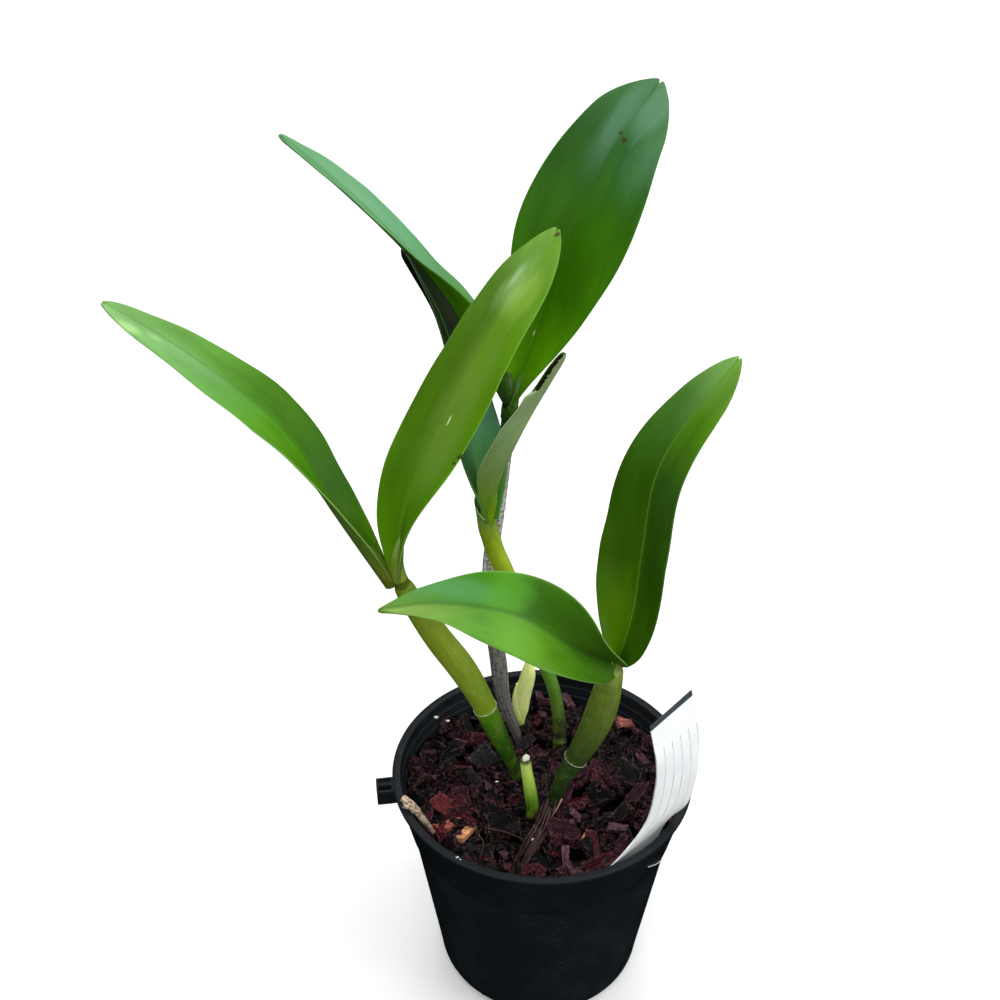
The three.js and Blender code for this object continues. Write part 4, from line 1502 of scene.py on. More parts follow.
    def crumb_tree(self, material: Material) -> bpy.types.NodeTree:
        """The Geometry Nodes tree that scatters crumbs over a disc.

        Args:
            material: What the crumbs are made of.

        Returns:
            The tree, with inputs for its sizes and its seed.
        """
        tree = bpy.data.node_groups.new("scatter_crumbs", "GeometryNodeTree")
        kinds = {"Geometry": "Geometry", "Density": "Float", "Seed": "Int"}
        kinds.update(dict.fromkeys(("Smallest", "Largest", "Rise"), "Float"))
        for name, kind in kinds.items():
            tree.interface.new_socket(name, in_out="INPUT", socket_type=f"NodeSocket{kind}")
        tree.interface.new_socket("Geometry", in_out="OUTPUT", socket_type="NodeSocketGeometry")
        given = add_node(tree, "NodeGroupInput").outputs
        seed, add = given["Seed"], Network(tree).add
        spread = add(Step.SCATTERED, given["Geometry"], given["Density"], seed)
        cube = add(Step.CUBE, self.crumb_form, *self.crumb_grid)
        push = add(Step.FROM_POINT, add(Step.LUMPS, self.crumb_lumps, 2.0), (0.5,) * 3)
        crumb = add(Step.MOVED, cube, add(Step.SHADED, push, self.crumb_push))
        raised = add(Step.MOVED, spread, add(Step.UPWARD, add(Step.CHANCE, 0.0, given["Rise"], seed)))
        turn = add(Step.CHANCE_TURN, (0.0,) * 3, (math.tau,) * 3, seed)
        size = add(Step.CHANCE, given["Smallest"], given["Largest"], seed)
        placed = add(Step.PLACED, raised, crumb, turn, size)
        toned = add(Step.NAMED, placed, "tone", add(Step.CHANCE, 0.0, 1.0, seed))
        dressed = add(Step.DRESSED, add(Step.REAL, toned), material)
        add_node(tree, "NodeGroupOutput", {"Geometry": dressed})
        return tree

    def crumbs(self, material: Material) -> Piece:
        """The crumbs between the chips, scattered by Geometry Nodes and made a plain mesh.

        Args:
            material: What they are made of.

        Returns:
            The crumbs as one piece.
        """
        reach, sides = float(self.pot.inside(self.level)) - 2.6, 48
        angle = angles_round(sides)
        low = np.full(sides, self.level - self.crumb_drop)
        disc = np.stack([reach * np.cos(angle), reach * np.sin(angle), low], axis=1)
        piece = make_piece("bark_crumbs", disc, [tuple(range(sides))], smooth=False)
        scatter = piece.modifiers.new("scatter", "NODES")
        scatter.node_group = self.crumb_tree(material)
        smallest, largest = self.crumb_size
        sizes = {
            "Density": self.crumbs_per_cm2 * 1e4, "Seed": self.seed,
            "Smallest": smallest * MM, "Largest": largest * MM, "Rise": self.crumb_rise * MM,
        }
        for socket in scatter.node_group.interface.items_tree:
            if socket.in_out == "INPUT" and socket.name in sizes:
                scatter[socket.identifier] = sizes[socket.name]
        return settle(piece)

    def build(self) -> list[Piece]:
        """Makes the fill, the chips and the crumbs, dressed and in place.

        Returns:
            The pieces.
        """
        bark = BarkFinish().material("pine_bark_composted")
        fines = CrumbFinish(FINES_AND_CREVICE_SHADE).material("pine_bark_fines_and_crevice_shade")
        chips = self.chip_piece("bark_chips", [*self.solid_chips(), *MARKED_CHIPS], self.grid)
        small = self.chip_piece("bark_small_chips", self.smaller_chips(), self.small_grid)
        return [
            dress(self.fill(), fines, "bark", "bark_mix"),
            dress(chips, bark, "bark"),
            dress(small, bark, "bark"),
            dress(self.crumbs(fines), fines, "bark"),
        ]


# ---- stems


@dataclass
class Pseudobulb:
    """One pseudobulb: a swollen stem from the rhizome to its leaves, with rings where sheaths fell."""

    name: str
    path: Points
    radii: Sequence[float]
    rings: Sequence[float]
    skin: Skins
    slot: str
    wrinkle: float = 0.03
    papery: bool = True
    ring_rise: float = 0.3
    ring_dip: float = 0.25
    tip_from: float = 0.965
    tip_span: float = 0.036
    sides: int = 56
    stations: int = 200
    seed: float = 1.0

    def skin_radius(self, share: Array) -> Array:
        """The plain radius along the stem, without its rings."""
        return read_along(self.radii, share) * rounded_end(share, self.tip_from, self.tip_span)

    def build(self) -> list[Piece]:
        """Makes the stem and the papery remains on its rings, dressed and in place.

        Returns:
            The pieces.
        """
        path = Path(self.path)
        share = np.sort(np.concatenate([
            np.linspace(0, 0.96, self.stations), 1 - 0.04 * np.cos(np.linspace(0, math.pi / 2, 12)[1:]),
            *[ring + np.linspace(-0.012, 0.012, 9) for ring in self.rings],
        ]))
        share = np.clip(share, 0.0, 1.0)
        angle = angles_round(self.sides)
        grid_share, grid_angle = np.meshgrid(share, angle, indexing="ij")
        radius = np.repeat(self.skin_radius(share)[:, None], self.sides, axis=1)
        along = np.sin(grid_angle) * 2 + grid_share * path.length / 40
        radius *= 1 + self.wrinkle * 0.5 * lumps(self.seed, np.cos(grid_angle) * 2, along, 0.5)
        for ring in self.rings:
            away = (share - ring) * path.length
            swelling = self.ring_rise * np.exp(-((away / 0.7) ** 2))
            neck = self.ring_dip * np.exp(-(((away + 1.6) / 0.9) ** 2))
            radius += (swelling - neck)[:, None]
        stem = tube(f"{self.name}_stem", path, share, radius)
        skin = self.skin.value.material(f"{self.name}_skin")
        pieces = [dress(stem, skin, self.slot, self.name)]
        if self.papery:
            paper = Skins.PAPER.value.material("dry_sheath_paper")
            bands = [self.papery_ring(path, ring, count) for count, ring in enumerate(self.rings)]
            pieces += [dress(band, paper, self.slot) for band in bands]
        return pieces

    def papery_ring(self, path: Path, ring: float, count: int) -> Piece:
        """The ragged foot of a fallen sheath: a thin band round the stem.

        Args:
            path: The stem's centre line.
            ring: Where the band is, as a share of the path.
            count: The band's number on its stem.

        Returns:
            The band, in place.
        """
        sides, rows = 73, 4
        angle = np.linspace(0, math.tau, sides)
        ragged = 0.15 + 0.7 * np.abs(lumps(self.seed + count, np.cos(angle) * 3, np.sin(angle) * 3, 0.7))
        rise = np.linspace(0, 1, rows)[:, None]
        shares = ring + (ragged * rise - 0.25) / path.length
        radius = self.skin_radius(np.array([ring])) + 0.36 + 0.08 * rise**2 + np.zeros(sides)
        return cup(f"{self.name}_ring_{count + 1}", path, shares, radius, 0.2)


PSEUDOBULBS = (
    Pseudobulb(
        "pseudobulb_left",
        [
            (-10, 4.5, 90), (-10.5, 4.5, 98), (-14.5, 3.5, 112), (-20.3, 2, 128.6), (-26.1, 0.5, 146.8),
            (-33.4, -1.7, 164.8), (-42.5, -4, 182), (-50.5, -7.2, 200), (-54.6, -10.2, 211.5),
            (-56.2, -11.5, 217),
        ], [2.6, 3, 4.35, 4.95, 5.8, 5.55, 4.9, 3.6], [0.4], Skins.LEFT_BULB, "green_stem", seed=1,
    ),
    Pseudobulb(
        "pseudobulb_right",
        [
            (5.5, -6, 90), (6, -5.8, 97), (8.7, -4.8, 107), (13.8, -3.5, 118), (19, -3.7, 130),
            (22.8, -4.8, 142.3), (25.1, -5.6, 154), (26.6, -6.6, 165), (27.4, -6.9, 171),
            (28.4, -6.9, 174.4),
        ], [3.2, 3.4, 4.6, 5.75, 6.45, 5.9, 4.4], [0.345], Skins.RIGHT_BULB, "olive_stem", seed=2,
    ),
    Pseudobulb(
        "pseudobulb_middle",
        [
            (7.5, 22, 90), (7.5, 24, 98), (7.5, 27, 108.5), (6.5, 27.8, 118), (4.5, 28, 129.6),
            (1.1, 28, 141), (-17.7, 26.1, 196), (-21.5, 25.3, 206.6), (-25, 24, 222),
        ], [3.3, 3.1, 2.8, 3, 3.4, 3.7, 3.9, 3.9], [0.09], Skins.MIDDLE_BULB, "green_stem", papery=False,
        seed=3,
    ),
    Pseudobulb(
        "pseudobulb_old",
        [
            (-11, 29, 90), (-11.2, 29, 98), (-13, 29.7, 105), (-16.4, 30.6, 114.7), (-18.8, 31.3, 126),
            (-20.4, 32, 141), (-24, 34, 174), (-24, 37, 193), (-21, 40, 216), (-18, 41, 245),
            (-16, 38, 268),
        ], [1.6, 2.5, 3.6, 3.55, 3.3, 3.1, 2.9, 2.85, 2.9], [0.155, 0.45, 0.72], Skins.OLD_BULB, "dry_stem",
        wrinkle=0.12, papery=False, seed=4,
    ),
)


@dataclass
class Shoot:
    """A young shoot: a short round stem, sheathed or cut back."""

    name: str
    path: Points
    radii: Sequence[float]
    skin: Skins
    stations: int = 60

    def stem(self) -> Piece:
        """The shoot's own stem, in place.

        Returns:
            The stem.
        """
        share = np.linspace(0, 1, self.stations)
        radius = read_along(self.radii, share) * rounded_end(share, 0.95, 0.052)
        return tube(f"{self.name}_stem", Path(self.path), share, radius)

    def build(self) -> list[Piece]:
        """Makes the shoot, dressed and in place."""
        skin = self.skin.value.material(f"{self.name}_skin")
        return [dress(self.stem(), skin, "shoot", self.name), *self.extras(skin)]

    def extras(self, skin: Material) -> list[Piece]:
        """What grows on the shoot."""
        return []


@dataclass
class SheathedShoot(Shoot):
    """The fresh shoot, with the pointed scale that sheathes its foot."""

    scale_path: Points = ((-10.6, 36.5, 100), (-11.5, 35.6, 110), (-12.4, 35.4, 119), (-12, 35.5, 126.5))
    scale_radii: Sequence[float] = (1.2, 2.3, 1.9, 0.5)

    def extras(self, skin: Material) -> list[Piece]:
        """The pointed scale.

        Args:
            skin: The shoot's own material.

        Returns:
            The pieces.
        """
        share = np.linspace(0, 1, 30)
        radius = read_along(self.scale_radii, share)
        scale = tube(f"{self.name}_scale", Path(self.scale_path), share, radius, sides=32)
        return [dress(scale, skin, "shoot")]


@dataclass
class CutShoot(Shoot):
    """The shoot that was cut back, with a frayed white rag of dry skin round its cut end."""

    def extras(self, skin: Material) -> list[Piece]:
        """The dry rag.

        Args:
            skin: The shoot's own material, which the rag doesn't use.

        Returns:
            The pieces.
        """
        sides = 48
        x, y, z = self.path[-1]
        path = Path([(x + 0.3, y, z - 0.9), (x, y, z), (x - 0.5, y, z + 0.6)])
        share = np.array([0.0, 0.3, 0.75, 1.0])
        angle = angles_round(sides)
        ragged = 1 + 0.14 * lumps(6.0, np.cos(angle) * 3, np.sin(angle) * 3, 0.5)
        radius = np.array([1.6, 1.85, 1.3, 0.4])[:, None] * ragged[None, :]
        paper = Skins.PAPER.value.material("dry_cut_end")
        return [dress(tube(f"{self.name}_cap", path, share, radius), paper, "shoot")]


@dataclass
class Stalk:
    """A leaf's round stalk, which carries its blade on from the top of a pseudobulb."""

    name: str
    path: Points
    radii: Sequence[float]
    skin: Skins
    slot: str = "leaf"
    stations: int = 60

    def build(self) -> list[Piece]:
        """Makes the stalk, dressed and in place.

        Returns:
            The pieces.
        """
        share = np.linspace(0, 1, self.stations)
        stalk = tube(self.name, Path(self.path), share, read_along(self.radii, share))
        return [dress(stalk, self.skin.value.material(f"{self.name}_skin"), self.slot)]


@dataclass
class Sheath:
    """The cup of leaf sheath round the top of a pseudobulb, open down one side in a V."""

    name: str
    path: Points
    radii: Sequence[float]
    open_towards: float
    lowest: float
    skin: Skins
    slot: str = "green_stem"
    wall: float = 0.45
    sides: int = 64
    rows: int = 26

    def build(self) -> list[Piece]:
        """Makes the cup, dressed and in place.

        Returns:
            The pieces.
        """
        angle = np.linspace(0, math.tau, self.sides + 1)
        closed = (0.5 - 0.5 * np.cos(angle - math.radians(self.open_towards))) ** 0.7
        rim = self.lowest + (1 - self.lowest) * closed
        shares = np.linspace(0, 1, self.rows)[:, None] * rim
        made = cup(self.name, Path(self.path), shares, read_along(self.radii, shares), self.wall)
        return [dress(made, self.skin.value.material(f"{self.name}_skin"), self.slot)]


STALKS = (
    Stalk(
        "left_front_stalk",
        [
            (-55.3, -10.8, 213.5), (-56.7, -11.9, 219.5), (-57.2, -12.2, 227), (-55.9, -11.6, 234),
            (-54, -10.8, 241.5),
        ], [3.25, 2.9, 2.5, 1.6, 0.4], Skins.FRONT_STALK,
    ),
    Stalk(
        "left_outer_stalk",
        [(-59.4, -12.6, 215.4), (-62.3, -12.5, 221.5), (-65.6, -12.3, 227.5), (-70.4, -12, 235.5)],
        [2.2, 2.55, 2.3, 0.7], Skins.OUTER_STALK,
    ),
    Stalk(
        "right_stalk", [(26.9, -6.7, 167.5), (28.2, -6, 172), (29.3, -4.2, 176), (30.7, -3.2, 181.5)],
        [4, 3.5, 2.1, 0.7], Skins.OUTER_STALK,
    ),
    Stalk(
        "middle_torn_stalk",
        [(-24.2, 23.2, 218), (-23.3, 22.4, 226), (-21.8, 20.2, 234.6), (-20.5, 18.6, 242)],
        [2.3, 2, 1.7, 0.5], Skins.BRIGHT_STALK,
    ),
    Stalk(
        "old_tall_stalk",
        [(-15.8, 38, 266.5), (-14.2, 38.2, 271.5), (-12.6, 38.6, 276.5), (-10.8, 39.2, 282)],
        [2.4, 1.9, 1.9, 0.7], Skins.PALE_STALK, slot="dark_leaf",
    ),
    Stalk(
        "old_back_stalk",
        [(-17, 37.2, 267.6), (-17.3, 36.9, 270.5), (-17.2, 36.9, 275.5), (-16.6, 37.4, 282.5)],
        [0.8, 2.5, 2.9, 1], Skins.DARK_STALK, slot="dark_leaf",
    ),
    Sheath(
        "middle_sheath", [(-22.6, 24.9, 211), (-24.2, 24.3, 218), (-25.4, 24.1, 224), (-27.3, 24.9, 233)],
        [3.7, 3.95, 3.3, 2.9], open_towards=-60, lowest=0.56, skin=Skins.MIDDLE_SHEATH,
    ),
    Sheath(
        "old_sheath_cup", [(-16.6, 38.4, 262), (-16.2, 38.2, 266), (-15.4, 37.9, 271)], [3.2, 3.3, 3.1],
        open_towards=-120, lowest=0.55, skin=Skins.DARK_STALK, slot="dry_stem",
    ),
)


SHOOTS = (
    SheathedShoot(
        "fresh_shoot",
        [
            (-10.5, 37, 90), (-10.5, 37, 98), (-10.3, 36.7, 103.4), (-9.8, 36.2, 110), (-9.7, 36, 116),
            (-9, 36, 122), (-7.8, 36, 128), (-7.3, 36, 131), (-6.8, 36, 141),
        ], [1.6, 1.5, 1.9, 3.1, 3.6, 3.6, 2.95, 0.8], Skins.FRESH_SHOOT,
    ),
    CutShoot(
        "cut_shoot",
        [
            (-4, -17, 90), (-3.9, -17.3, 98), (-3.8, -17.7, 104), (-4.4, -18.6, 111.5), (-5.5, -19, 120),
            (-6.5, -19, 127), (-7, -19, 133.5),
        ], [2.5, 2.65, 2.75, 2.45, 2.2], Skins.CUT_SHOOT,
    ),
)


# ---- leaves


@dataclass
class Leaf:
    """One leaf: a thick strap folded along its midrib, with a notched blunt tip."""

    name: str
    rib: Points
    face: Points
    widths: Sequence[float]
    fold: Sequence[float]
    finish: LeafFinish
    slot: str = "leaf"
    round_to: float = 0.0
    base_blunt: float = 0.4
    torn_side: int = 0
    torn_from: float = 0.78
    torn_keep: float = 0.5
    torn_ragged: float = 0.11
    tip_from: float = 0.86
    tip_blunt: float = 0.16
    tip_notch: float = 1.6
    rib_thickness: float = 2.0
    edge_thickness: float = 0.9
    groove: float = 0.2
    keel: float = 0.45
    wave_mm: float = 16.0
    wave_rise: float = 0.5
    stations: int = 130
    columns: int = 47
    seed: float = 1.0

    def half_width(self, share: Array) -> Array:
        """Half the blade's width along its midrib.

        Args:
            share: Where to read, from 0 to 1.

        Returns:
            One width for each share.
        """
        past = np.maximum(0.0, (share - self.tip_from) / (1 - self.tip_from))
        width = read_along(self.widths, share) / 2
        width *= self.tip_blunt + (1 - self.tip_blunt) * np.sqrt(np.maximum(0.0, 1 - past**2))
        if self.round_to:
            before = np.maximum(0.0, 1 - share / self.round_to)
            width *= self.base_blunt + (1 - self.base_blunt) * np.sqrt(1 - before**2)
        return width

    def kept(self, share: Array, across: Array) -> Array:
        """How much of the blade's width is left at each point, with a torn side's ragged edge.

        Args:
            share: How far along the blade each row is.
            across: How far across each point is.

        Returns:
            The share of the width that is left, shaped as across.
        """
        if not self.torn_side:
            return np.ones_like(across)
        loss = smooth_rise(-0.03, 0.03, share - self.torn_from)[:, None]
        ragged = self.torn_ragged * lumps(self.seed, share * 90, share * 0, 1.0)[:, None]
        kept = 1 + (self.torn_keep - 1 + ragged) * loss
        return np.where(np.sign(across) == self.torn_side, kept, 1.0)

    def build(self) -> list[Piece]:
        """Makes the leaf, dressed and in place.

        Returns:
            The pieces.
        """
        share = np.sin(np.linspace(0, 1, self.stations) * math.pi / 2) ** 1.15
        rib, face = Path(self.rib), Path(self.face)
        even = np.linspace(-1, 1, self.columns)
        across = np.broadcast_to(even, (self.stations, self.columns))
        along = rib.direction(share)
        up = square_to(along, face.raw(share))
        right = np.cross(along, up)
        half = self.half_width(share)
        fold = np.radians(read_along(self.fold, share))
        out = np.abs(across) * self.kept(share, across)
        sign = np.sign(across)
        spread = (half * np.cos(fold))[:, None] * out * sign
        lift = (half * np.sin(fold))[:, None] * (np.hypot(out, 0.2) - 0.2) * 1.1
        run = (share * rib.length)[:, None]
        waves = lumps(self.seed, run + 0 * out, sign * 9, self.wave_mm)
        lift = lift + self.wave_rise * out**3 * waves * smooth_rise(0.05, 0.3, share)[:, None]
        notch = (self.tip_notch * smooth_rise(self.tip_from, 1, share))[:, None]
        lobes = notch * np.sin(np.pi * np.abs(across))
        axes = [rib.at(share), right, up, along]
        origin, right, up, along = (axis[:, None, :] for axis in axes)
        middle = origin + right * spread[..., None] + up * lift[..., None] + along * lobes[..., None]
        lean = fold[:, None] * sign * np.minimum(1, out * 3)
        normal = up * np.cos(lean)[..., None] - right * np.sin(lean)[..., None]
        from_rib = half[:, None] * out
        flesh = self.rib_thickness + (self.edge_thickness - self.rib_thickness) * out**0.8
        edge = np.abs(across)
        flesh = flesh / 2 * np.sqrt(np.maximum(0.04, 1 - (np.maximum(0, edge - 0.93) / 0.07) ** 2))
        ending = np.sqrt(np.maximum(0.05, 1 - np.maximum(0, (share - 0.985) / 0.015) ** 2))[:, None]
        groove = self.groove * np.exp(-(from_rib**2))
        keel = self.keel * np.exp(-((from_rib / 1.1) ** 2))
        upper = middle + normal * (flesh * ending - groove)[..., None]
        lower = middle - normal * (flesh * ending + keel)[..., None]
        points = np.vstack([upper.reshape(-1, 3), lower.reshape(-1, 3)])
        flat = np.stack([half[:, None] * out * sign, run + 0 * across], axis=-1)
        uv = np.tile(flat.reshape(-1, 2), (2, 1))
        count = across.size
        rotten = smooth_rise(0.45, 1.0, edge) * smooth_rise(-0.01, 0.05, share - self.torn_from)[:, None]
        torn = np.where(sign == self.torn_side, rotten, 0.0) * bool(self.torn_side)
        values = {
            "share": np.tile((share[:, None] + 0 * across).ravel(), 2),
            "across": np.tile(across.ravel(), 2),
            "side": np.repeat([1.0, 0.0], count),
            "torn": np.tile(torn.ravel(), 2),
        }
        faces = sheet_faces(self.stations, self.columns)
        blade = make_piece(f"{self.name}_blade", points, faces, uv, values)
        skin = self.finish.material(f"{self.name}_skin")
        return [dress(face_outwards(blade), skin, self.slot, self.name)]


# The halves' ramps hold painted light and shade of each fold, their pale bluish tips are painted sheen, and
# the sheen patches are painted reflections.
LEAVES = (
    Leaf(
        "leaf_left_outer",
        [
            (-60.7, -12.6, 214.6), (-80.1, -9.4, 247.7), (-102.3, 8.2, 273.3), (-137, 22, 295.2),
            (-170, 34, 310),
        ], [(0.93, 0.09, 0.42), (0.5, -0.2, 0.8), (0.3, -0.3, 0.9)], [7.1, 17.9, 23.7, 28, 26, 17.5, 10],
        [60, 38, 11, 8, 4],
        LeafFinish(
            left={0: "#5c9008", 0.3: "#447c0a", 0.5: "#4c8618", 0.7: "#5c9444", 1: "#7aac64"},
            right={0: "#4f8008", 0.3: "#2c5804", 0.58: "#3c7004", 0.72: "#548c2c", 1: "#6c9c54"},
            under={0: "#5a7420", 0.3: "#608038", 1: "#6c8a48"}, rib="#2c5a1c", margin="#8ab464",
            rib_share=0.25,
            painted_sheen=(
                SheenPatch(-2, 124, 6, 26, 0.5, "#6f9c60"), SheenPatch(-4.8, 144, 2.6, 7, 0.7, "#a4cc84"),
                SheenPatch(-2.8, 134, 1.6, 5, 0.5, "#98c080"),
            ), marks=((0.5, 160.5, 1.6),),
        ), seed=11,
    ),
    Leaf(
        "leaf_left_front",
        [(-56.7, -12, 217), (-53.4, -11.1, 247.9), (-42.8, -7.9, 274.8), (-24, 2, 312), (0.4, 26, 345.2)],
        [(-0.66, -0.73, 0.1), (-0.44, -0.77, 0.41), (-0.2, -0.7, 0.7)], [6.3, 20, 28.5, 28.7, 25.7, 22, 14],
        [57, 34, 9, 6, 4],
        LeafFinish(
            left={0: "#548408", 0.3: "#457409", 0.6: "#426810", 0.85: "#466c18", 1: "#6c9a38"},
            right={0: "#4a7610", 0.3: "#4a7a0c", 0.6: "#4b780c", 0.85: "#4f7e0a", 1: "#66922c"},
            under={0: "#6a8034", 0.3: "#6c8c54", 1: "#4a7a2a"}, rib="#6c9432", margin="#8cc054",
            rib_share=0.15, rib_mm=1.2,
            painted_sheen=(
                SheenPatch(3, 125, 6.5, 13, 0.5, "#80a838"), SheenPatch(-1.4, 127, 5.5, 14, 0.42, "#94bc74"),
                SheenPatch(-3.2, 130, 1.6, 7, 0.25, "#b8d8b0"), SheenPatch(3, 76, 10, 44, 0.4, "#74963c"),
                SheenPatch(2.2, 73.2, 0.4, 2.5, 0.8, "#d4e4b8"),
            ), marks=((1.2, 149, 1.3), (14.2, 65, 1.3), (13.6, 62, 0.8)),
        ), seed=12,
    ),
    Leaf(
        "leaf_right_low",
        [(30, -5.9, 174.3), (13.7, -17, 189), (-10.8, -30.6, 216.5), (-38, -40, 228), (-58, -51, 233)],
        [(0.27, -0.65, -0.23), (0.9, -0.58, 0.34), (0.3, -0.1, 0.9)], [17.4, 25.3, 32.8, 32.5, 27, 15, 6],
        [56, 46, 13, 10, 8],
        LeafFinish(
            left={0: "#33600a", 0.18: "#3a680e", 0.42: "#4f8416", 0.7: "#508626", 1: "#80a04c"},
            right={
                0: "#305808", 0.25: "#386012", 0.5: "#32620f", 0.62: "#3c7812", 0.8: "#3c7420",
                1: "#5c8434",
            }, under={0: "#4a7a1e", 1: "#5c8a2a"}, rib="#1c4410", margin="#94c468", rib_share=0.35,
            rib_mm=0.7,
            painted_sheen=(
                SheenPatch(6, 88, 6.5, 22, 0.42, "#5c9c62"), SheenPatch(-11, 62, 12, 17, 0.42, "#6cae28"),
                SheenPatch(8, 70, 15, 11, 0.55, "#549a20"),
            ), marks=((6.3, 14, 1.3),),
        ), round_to=0.08, seed=13,
    ),
    Leaf(
        "leaf_right_tall",
        [(29.3, -5.3, 173.5), (35.3, -1.1, 199.8), (37.6, 3.9, 224), (43, 13, 257), (69, 23, 297)],
        [(0.08, -0.48, -0.1), (-0.73, -0.72, 0.32), (-0.5, -0.7, 0.5)],
        [15.5, 29.8, 35.8, 33.9, 29, 22, 13], [56, 31, 19, 14, 8],
        LeafFinish(
            left={
                0: "#5f9204", 0.12: "#4a7402", 0.35: "#305604", 0.6: "#2d5608", 0.85: "#46742a",
                1: "#7aac54",
            }, right={0: "#345c04", 0.3: "#2b5008", 0.6: "#2f5814", 0.82: "#4c7c10", 1: "#6f9e3c"},
            under={0: "#3f6a1a", 1: "#4a7a2a"}, rib="#5c8a24", margin="#5c8a3c", rib_share=0.5, rib_mm=0.4,
            painted_sheen=(SheenPatch(-2, 122, 6, 24, 0.16, "#7aa860"),),
        ), round_to=0.08, seed=14,
    ),
    Leaf(
        "leaf_middle_torn", [(-23.6, 23, 224.2), (-20.2, 18.1, 245.5), (-11, 12, 272.4), (4, 4, 307)],
        [(-0.8, 0.41, 0.29), (-0.88, 0.35, 0.31), (-0.7, 0.5, 0.3)], [6.8, 14.1, 19.9, 19, 14.2, 13, 9],
        [60, 48, 41, 40],
        LeafFinish(
            left={0: "#33640c", 1: "#3a6a18"}, right={0: "#33640c", 1: "#3a6a18"},
            under={0: "#8ab418", 0.12: "#749828", 0.3: "#7a9850", 0.6: "#94b078", 1: "#90a472"},
            rib="#6c8a52", margin="#b4c896", rib_share=0.1, margin_share=0.8,
        ), torn_side=1, seed=15,
    ),
    # This leaf's upper blade is painted near black on both faces, painted shade where it turns from the
    # light; its bluish foot is a painted reflection of the sky, and its grey margin a painted highlight.
    Leaf(
        "leaf_middle_back", [(-24, 24, 223), (-32, 30.5, 260), (-41, 29, 306), (-54, 24, 337)],
        [(0.5, -0.8, 0.3), (0.9, -0.5, 0.2), (0.9, 0.1, 0.4)], [10, 24, 27, 24, 18, 14, 9],
        [58, 24, 20, 16],
        LeafFinish(
            left={
                0: "#4a8a24", 0.2: "#4a8040", 0.38: "#4c8464", 0.52: "#24400e", 0.7: "#162208",
                1: "#1c2a10",
            },
            right={
                0: "#4a8a24", 0.2: "#4a8040", 0.38: "#4c8464", 0.52: "#24400e", 0.7: "#101c06",
                1: "#14200c",
            }, under={0: "#5c8a24", 0.3: "#3c5c1c", 0.6: "#0b1404", 1: "#070d03"}, rib="#4c7a58",
            margin="#4a5a48", rib_share=0.3,
        ), seed=16,
    ),
    Leaf(
        "leaf_old_tall", [(-16, 38, 268), (-3, 43, 305), (8, 50, 338), (22, 60, 366), (37, 72, 385)],
        [(-0.3, -0.9, 0.2), (-0.2, -0.9, 0.3), (-0.1, -0.8, 0.6)], [6, 20, 33, 43, 42, 33, 20],
        [55, 16, 8, 6, 5],
        LeafFinish(
            left={
                0: "#5c9024", 0.12: "#5e9c06", 0.35: "#387004", 0.6: "#2f5e10", 0.8: "#28521e",
                1: "#3a6c36",
            },
            right={
                0: "#5c9024", 0.12: "#5e9c06", 0.35: "#366a04", 0.6: "#2f6206", 0.8: "#2c5c28",
                1: "#427042",
            }, under={0: "#3f6a1a", 1: "#3f6a1a"}, rib="#24540c", margin="#4f8430", rib_share=0.3,
            rib_mm=0.4,
            painted_sheen=(
                SheenPatch(5, 127, 8, 17, 0.36, "#74a084"), SheenPatch(13, 108, 7.5, 20, 0.34, "#5f8c68"),
                SheenPatch(-4, 120, 5.5, 22, 0.34, "#6c9a80"), SheenPatch(-5, 104, 7, 16, 0.25, "#4f8058"),
                SheenPatch(-1.3, 31.3, 0.3, 1.5, 0.9, "#e0ecc8"),
            ), marks=((1.7, 110.6, 1.4), (-0.6, 112, 0.9)),
        ), slot="dark_leaf", seed=17,
    ),
    # This leaf's pale mint greens are painted sheen, the reflection of the sky on a blade that faces up.
    Leaf(
        "leaf_old_back",
        [(-17, 38, 268), (-33.1, 45, 295.4), (-52.8, 55, 320.9), (-80.4, 62, 346.8), (-103, 66, 365)],
        [(0.93, 0.68, 0.5), (1.12, 0.07, 0.6), (0.6, 0, 0.8)], [9, 21.5, 26.5, 22.2, 22.5, 18, 11],
        [60, 53, 19, 18, 12],
        LeafFinish(
            left={0: "#2c5a06", 0.2: "#427828", 0.35: "#5a9048", 1: "#5c9464"},
            right={0: "#2c5a06", 0.2: "#427828", 0.34: "#5f9654", 0.55: "#5c9868", 1: "#649767"},
            under={0: "#447f0a", 0.5: "#447f0a", 0.62: "#4c8040", 1: "#5c9464"}, rib="#3c7448",
            margin="#5c8a5c", rib_share=0.3, painted_sheen=(SheenPatch(2, 92, 9, 40, 0.45, "#75a581"),),
        ), slot="dark_leaf", seed=18,
    ),
)


# ---- label and litter


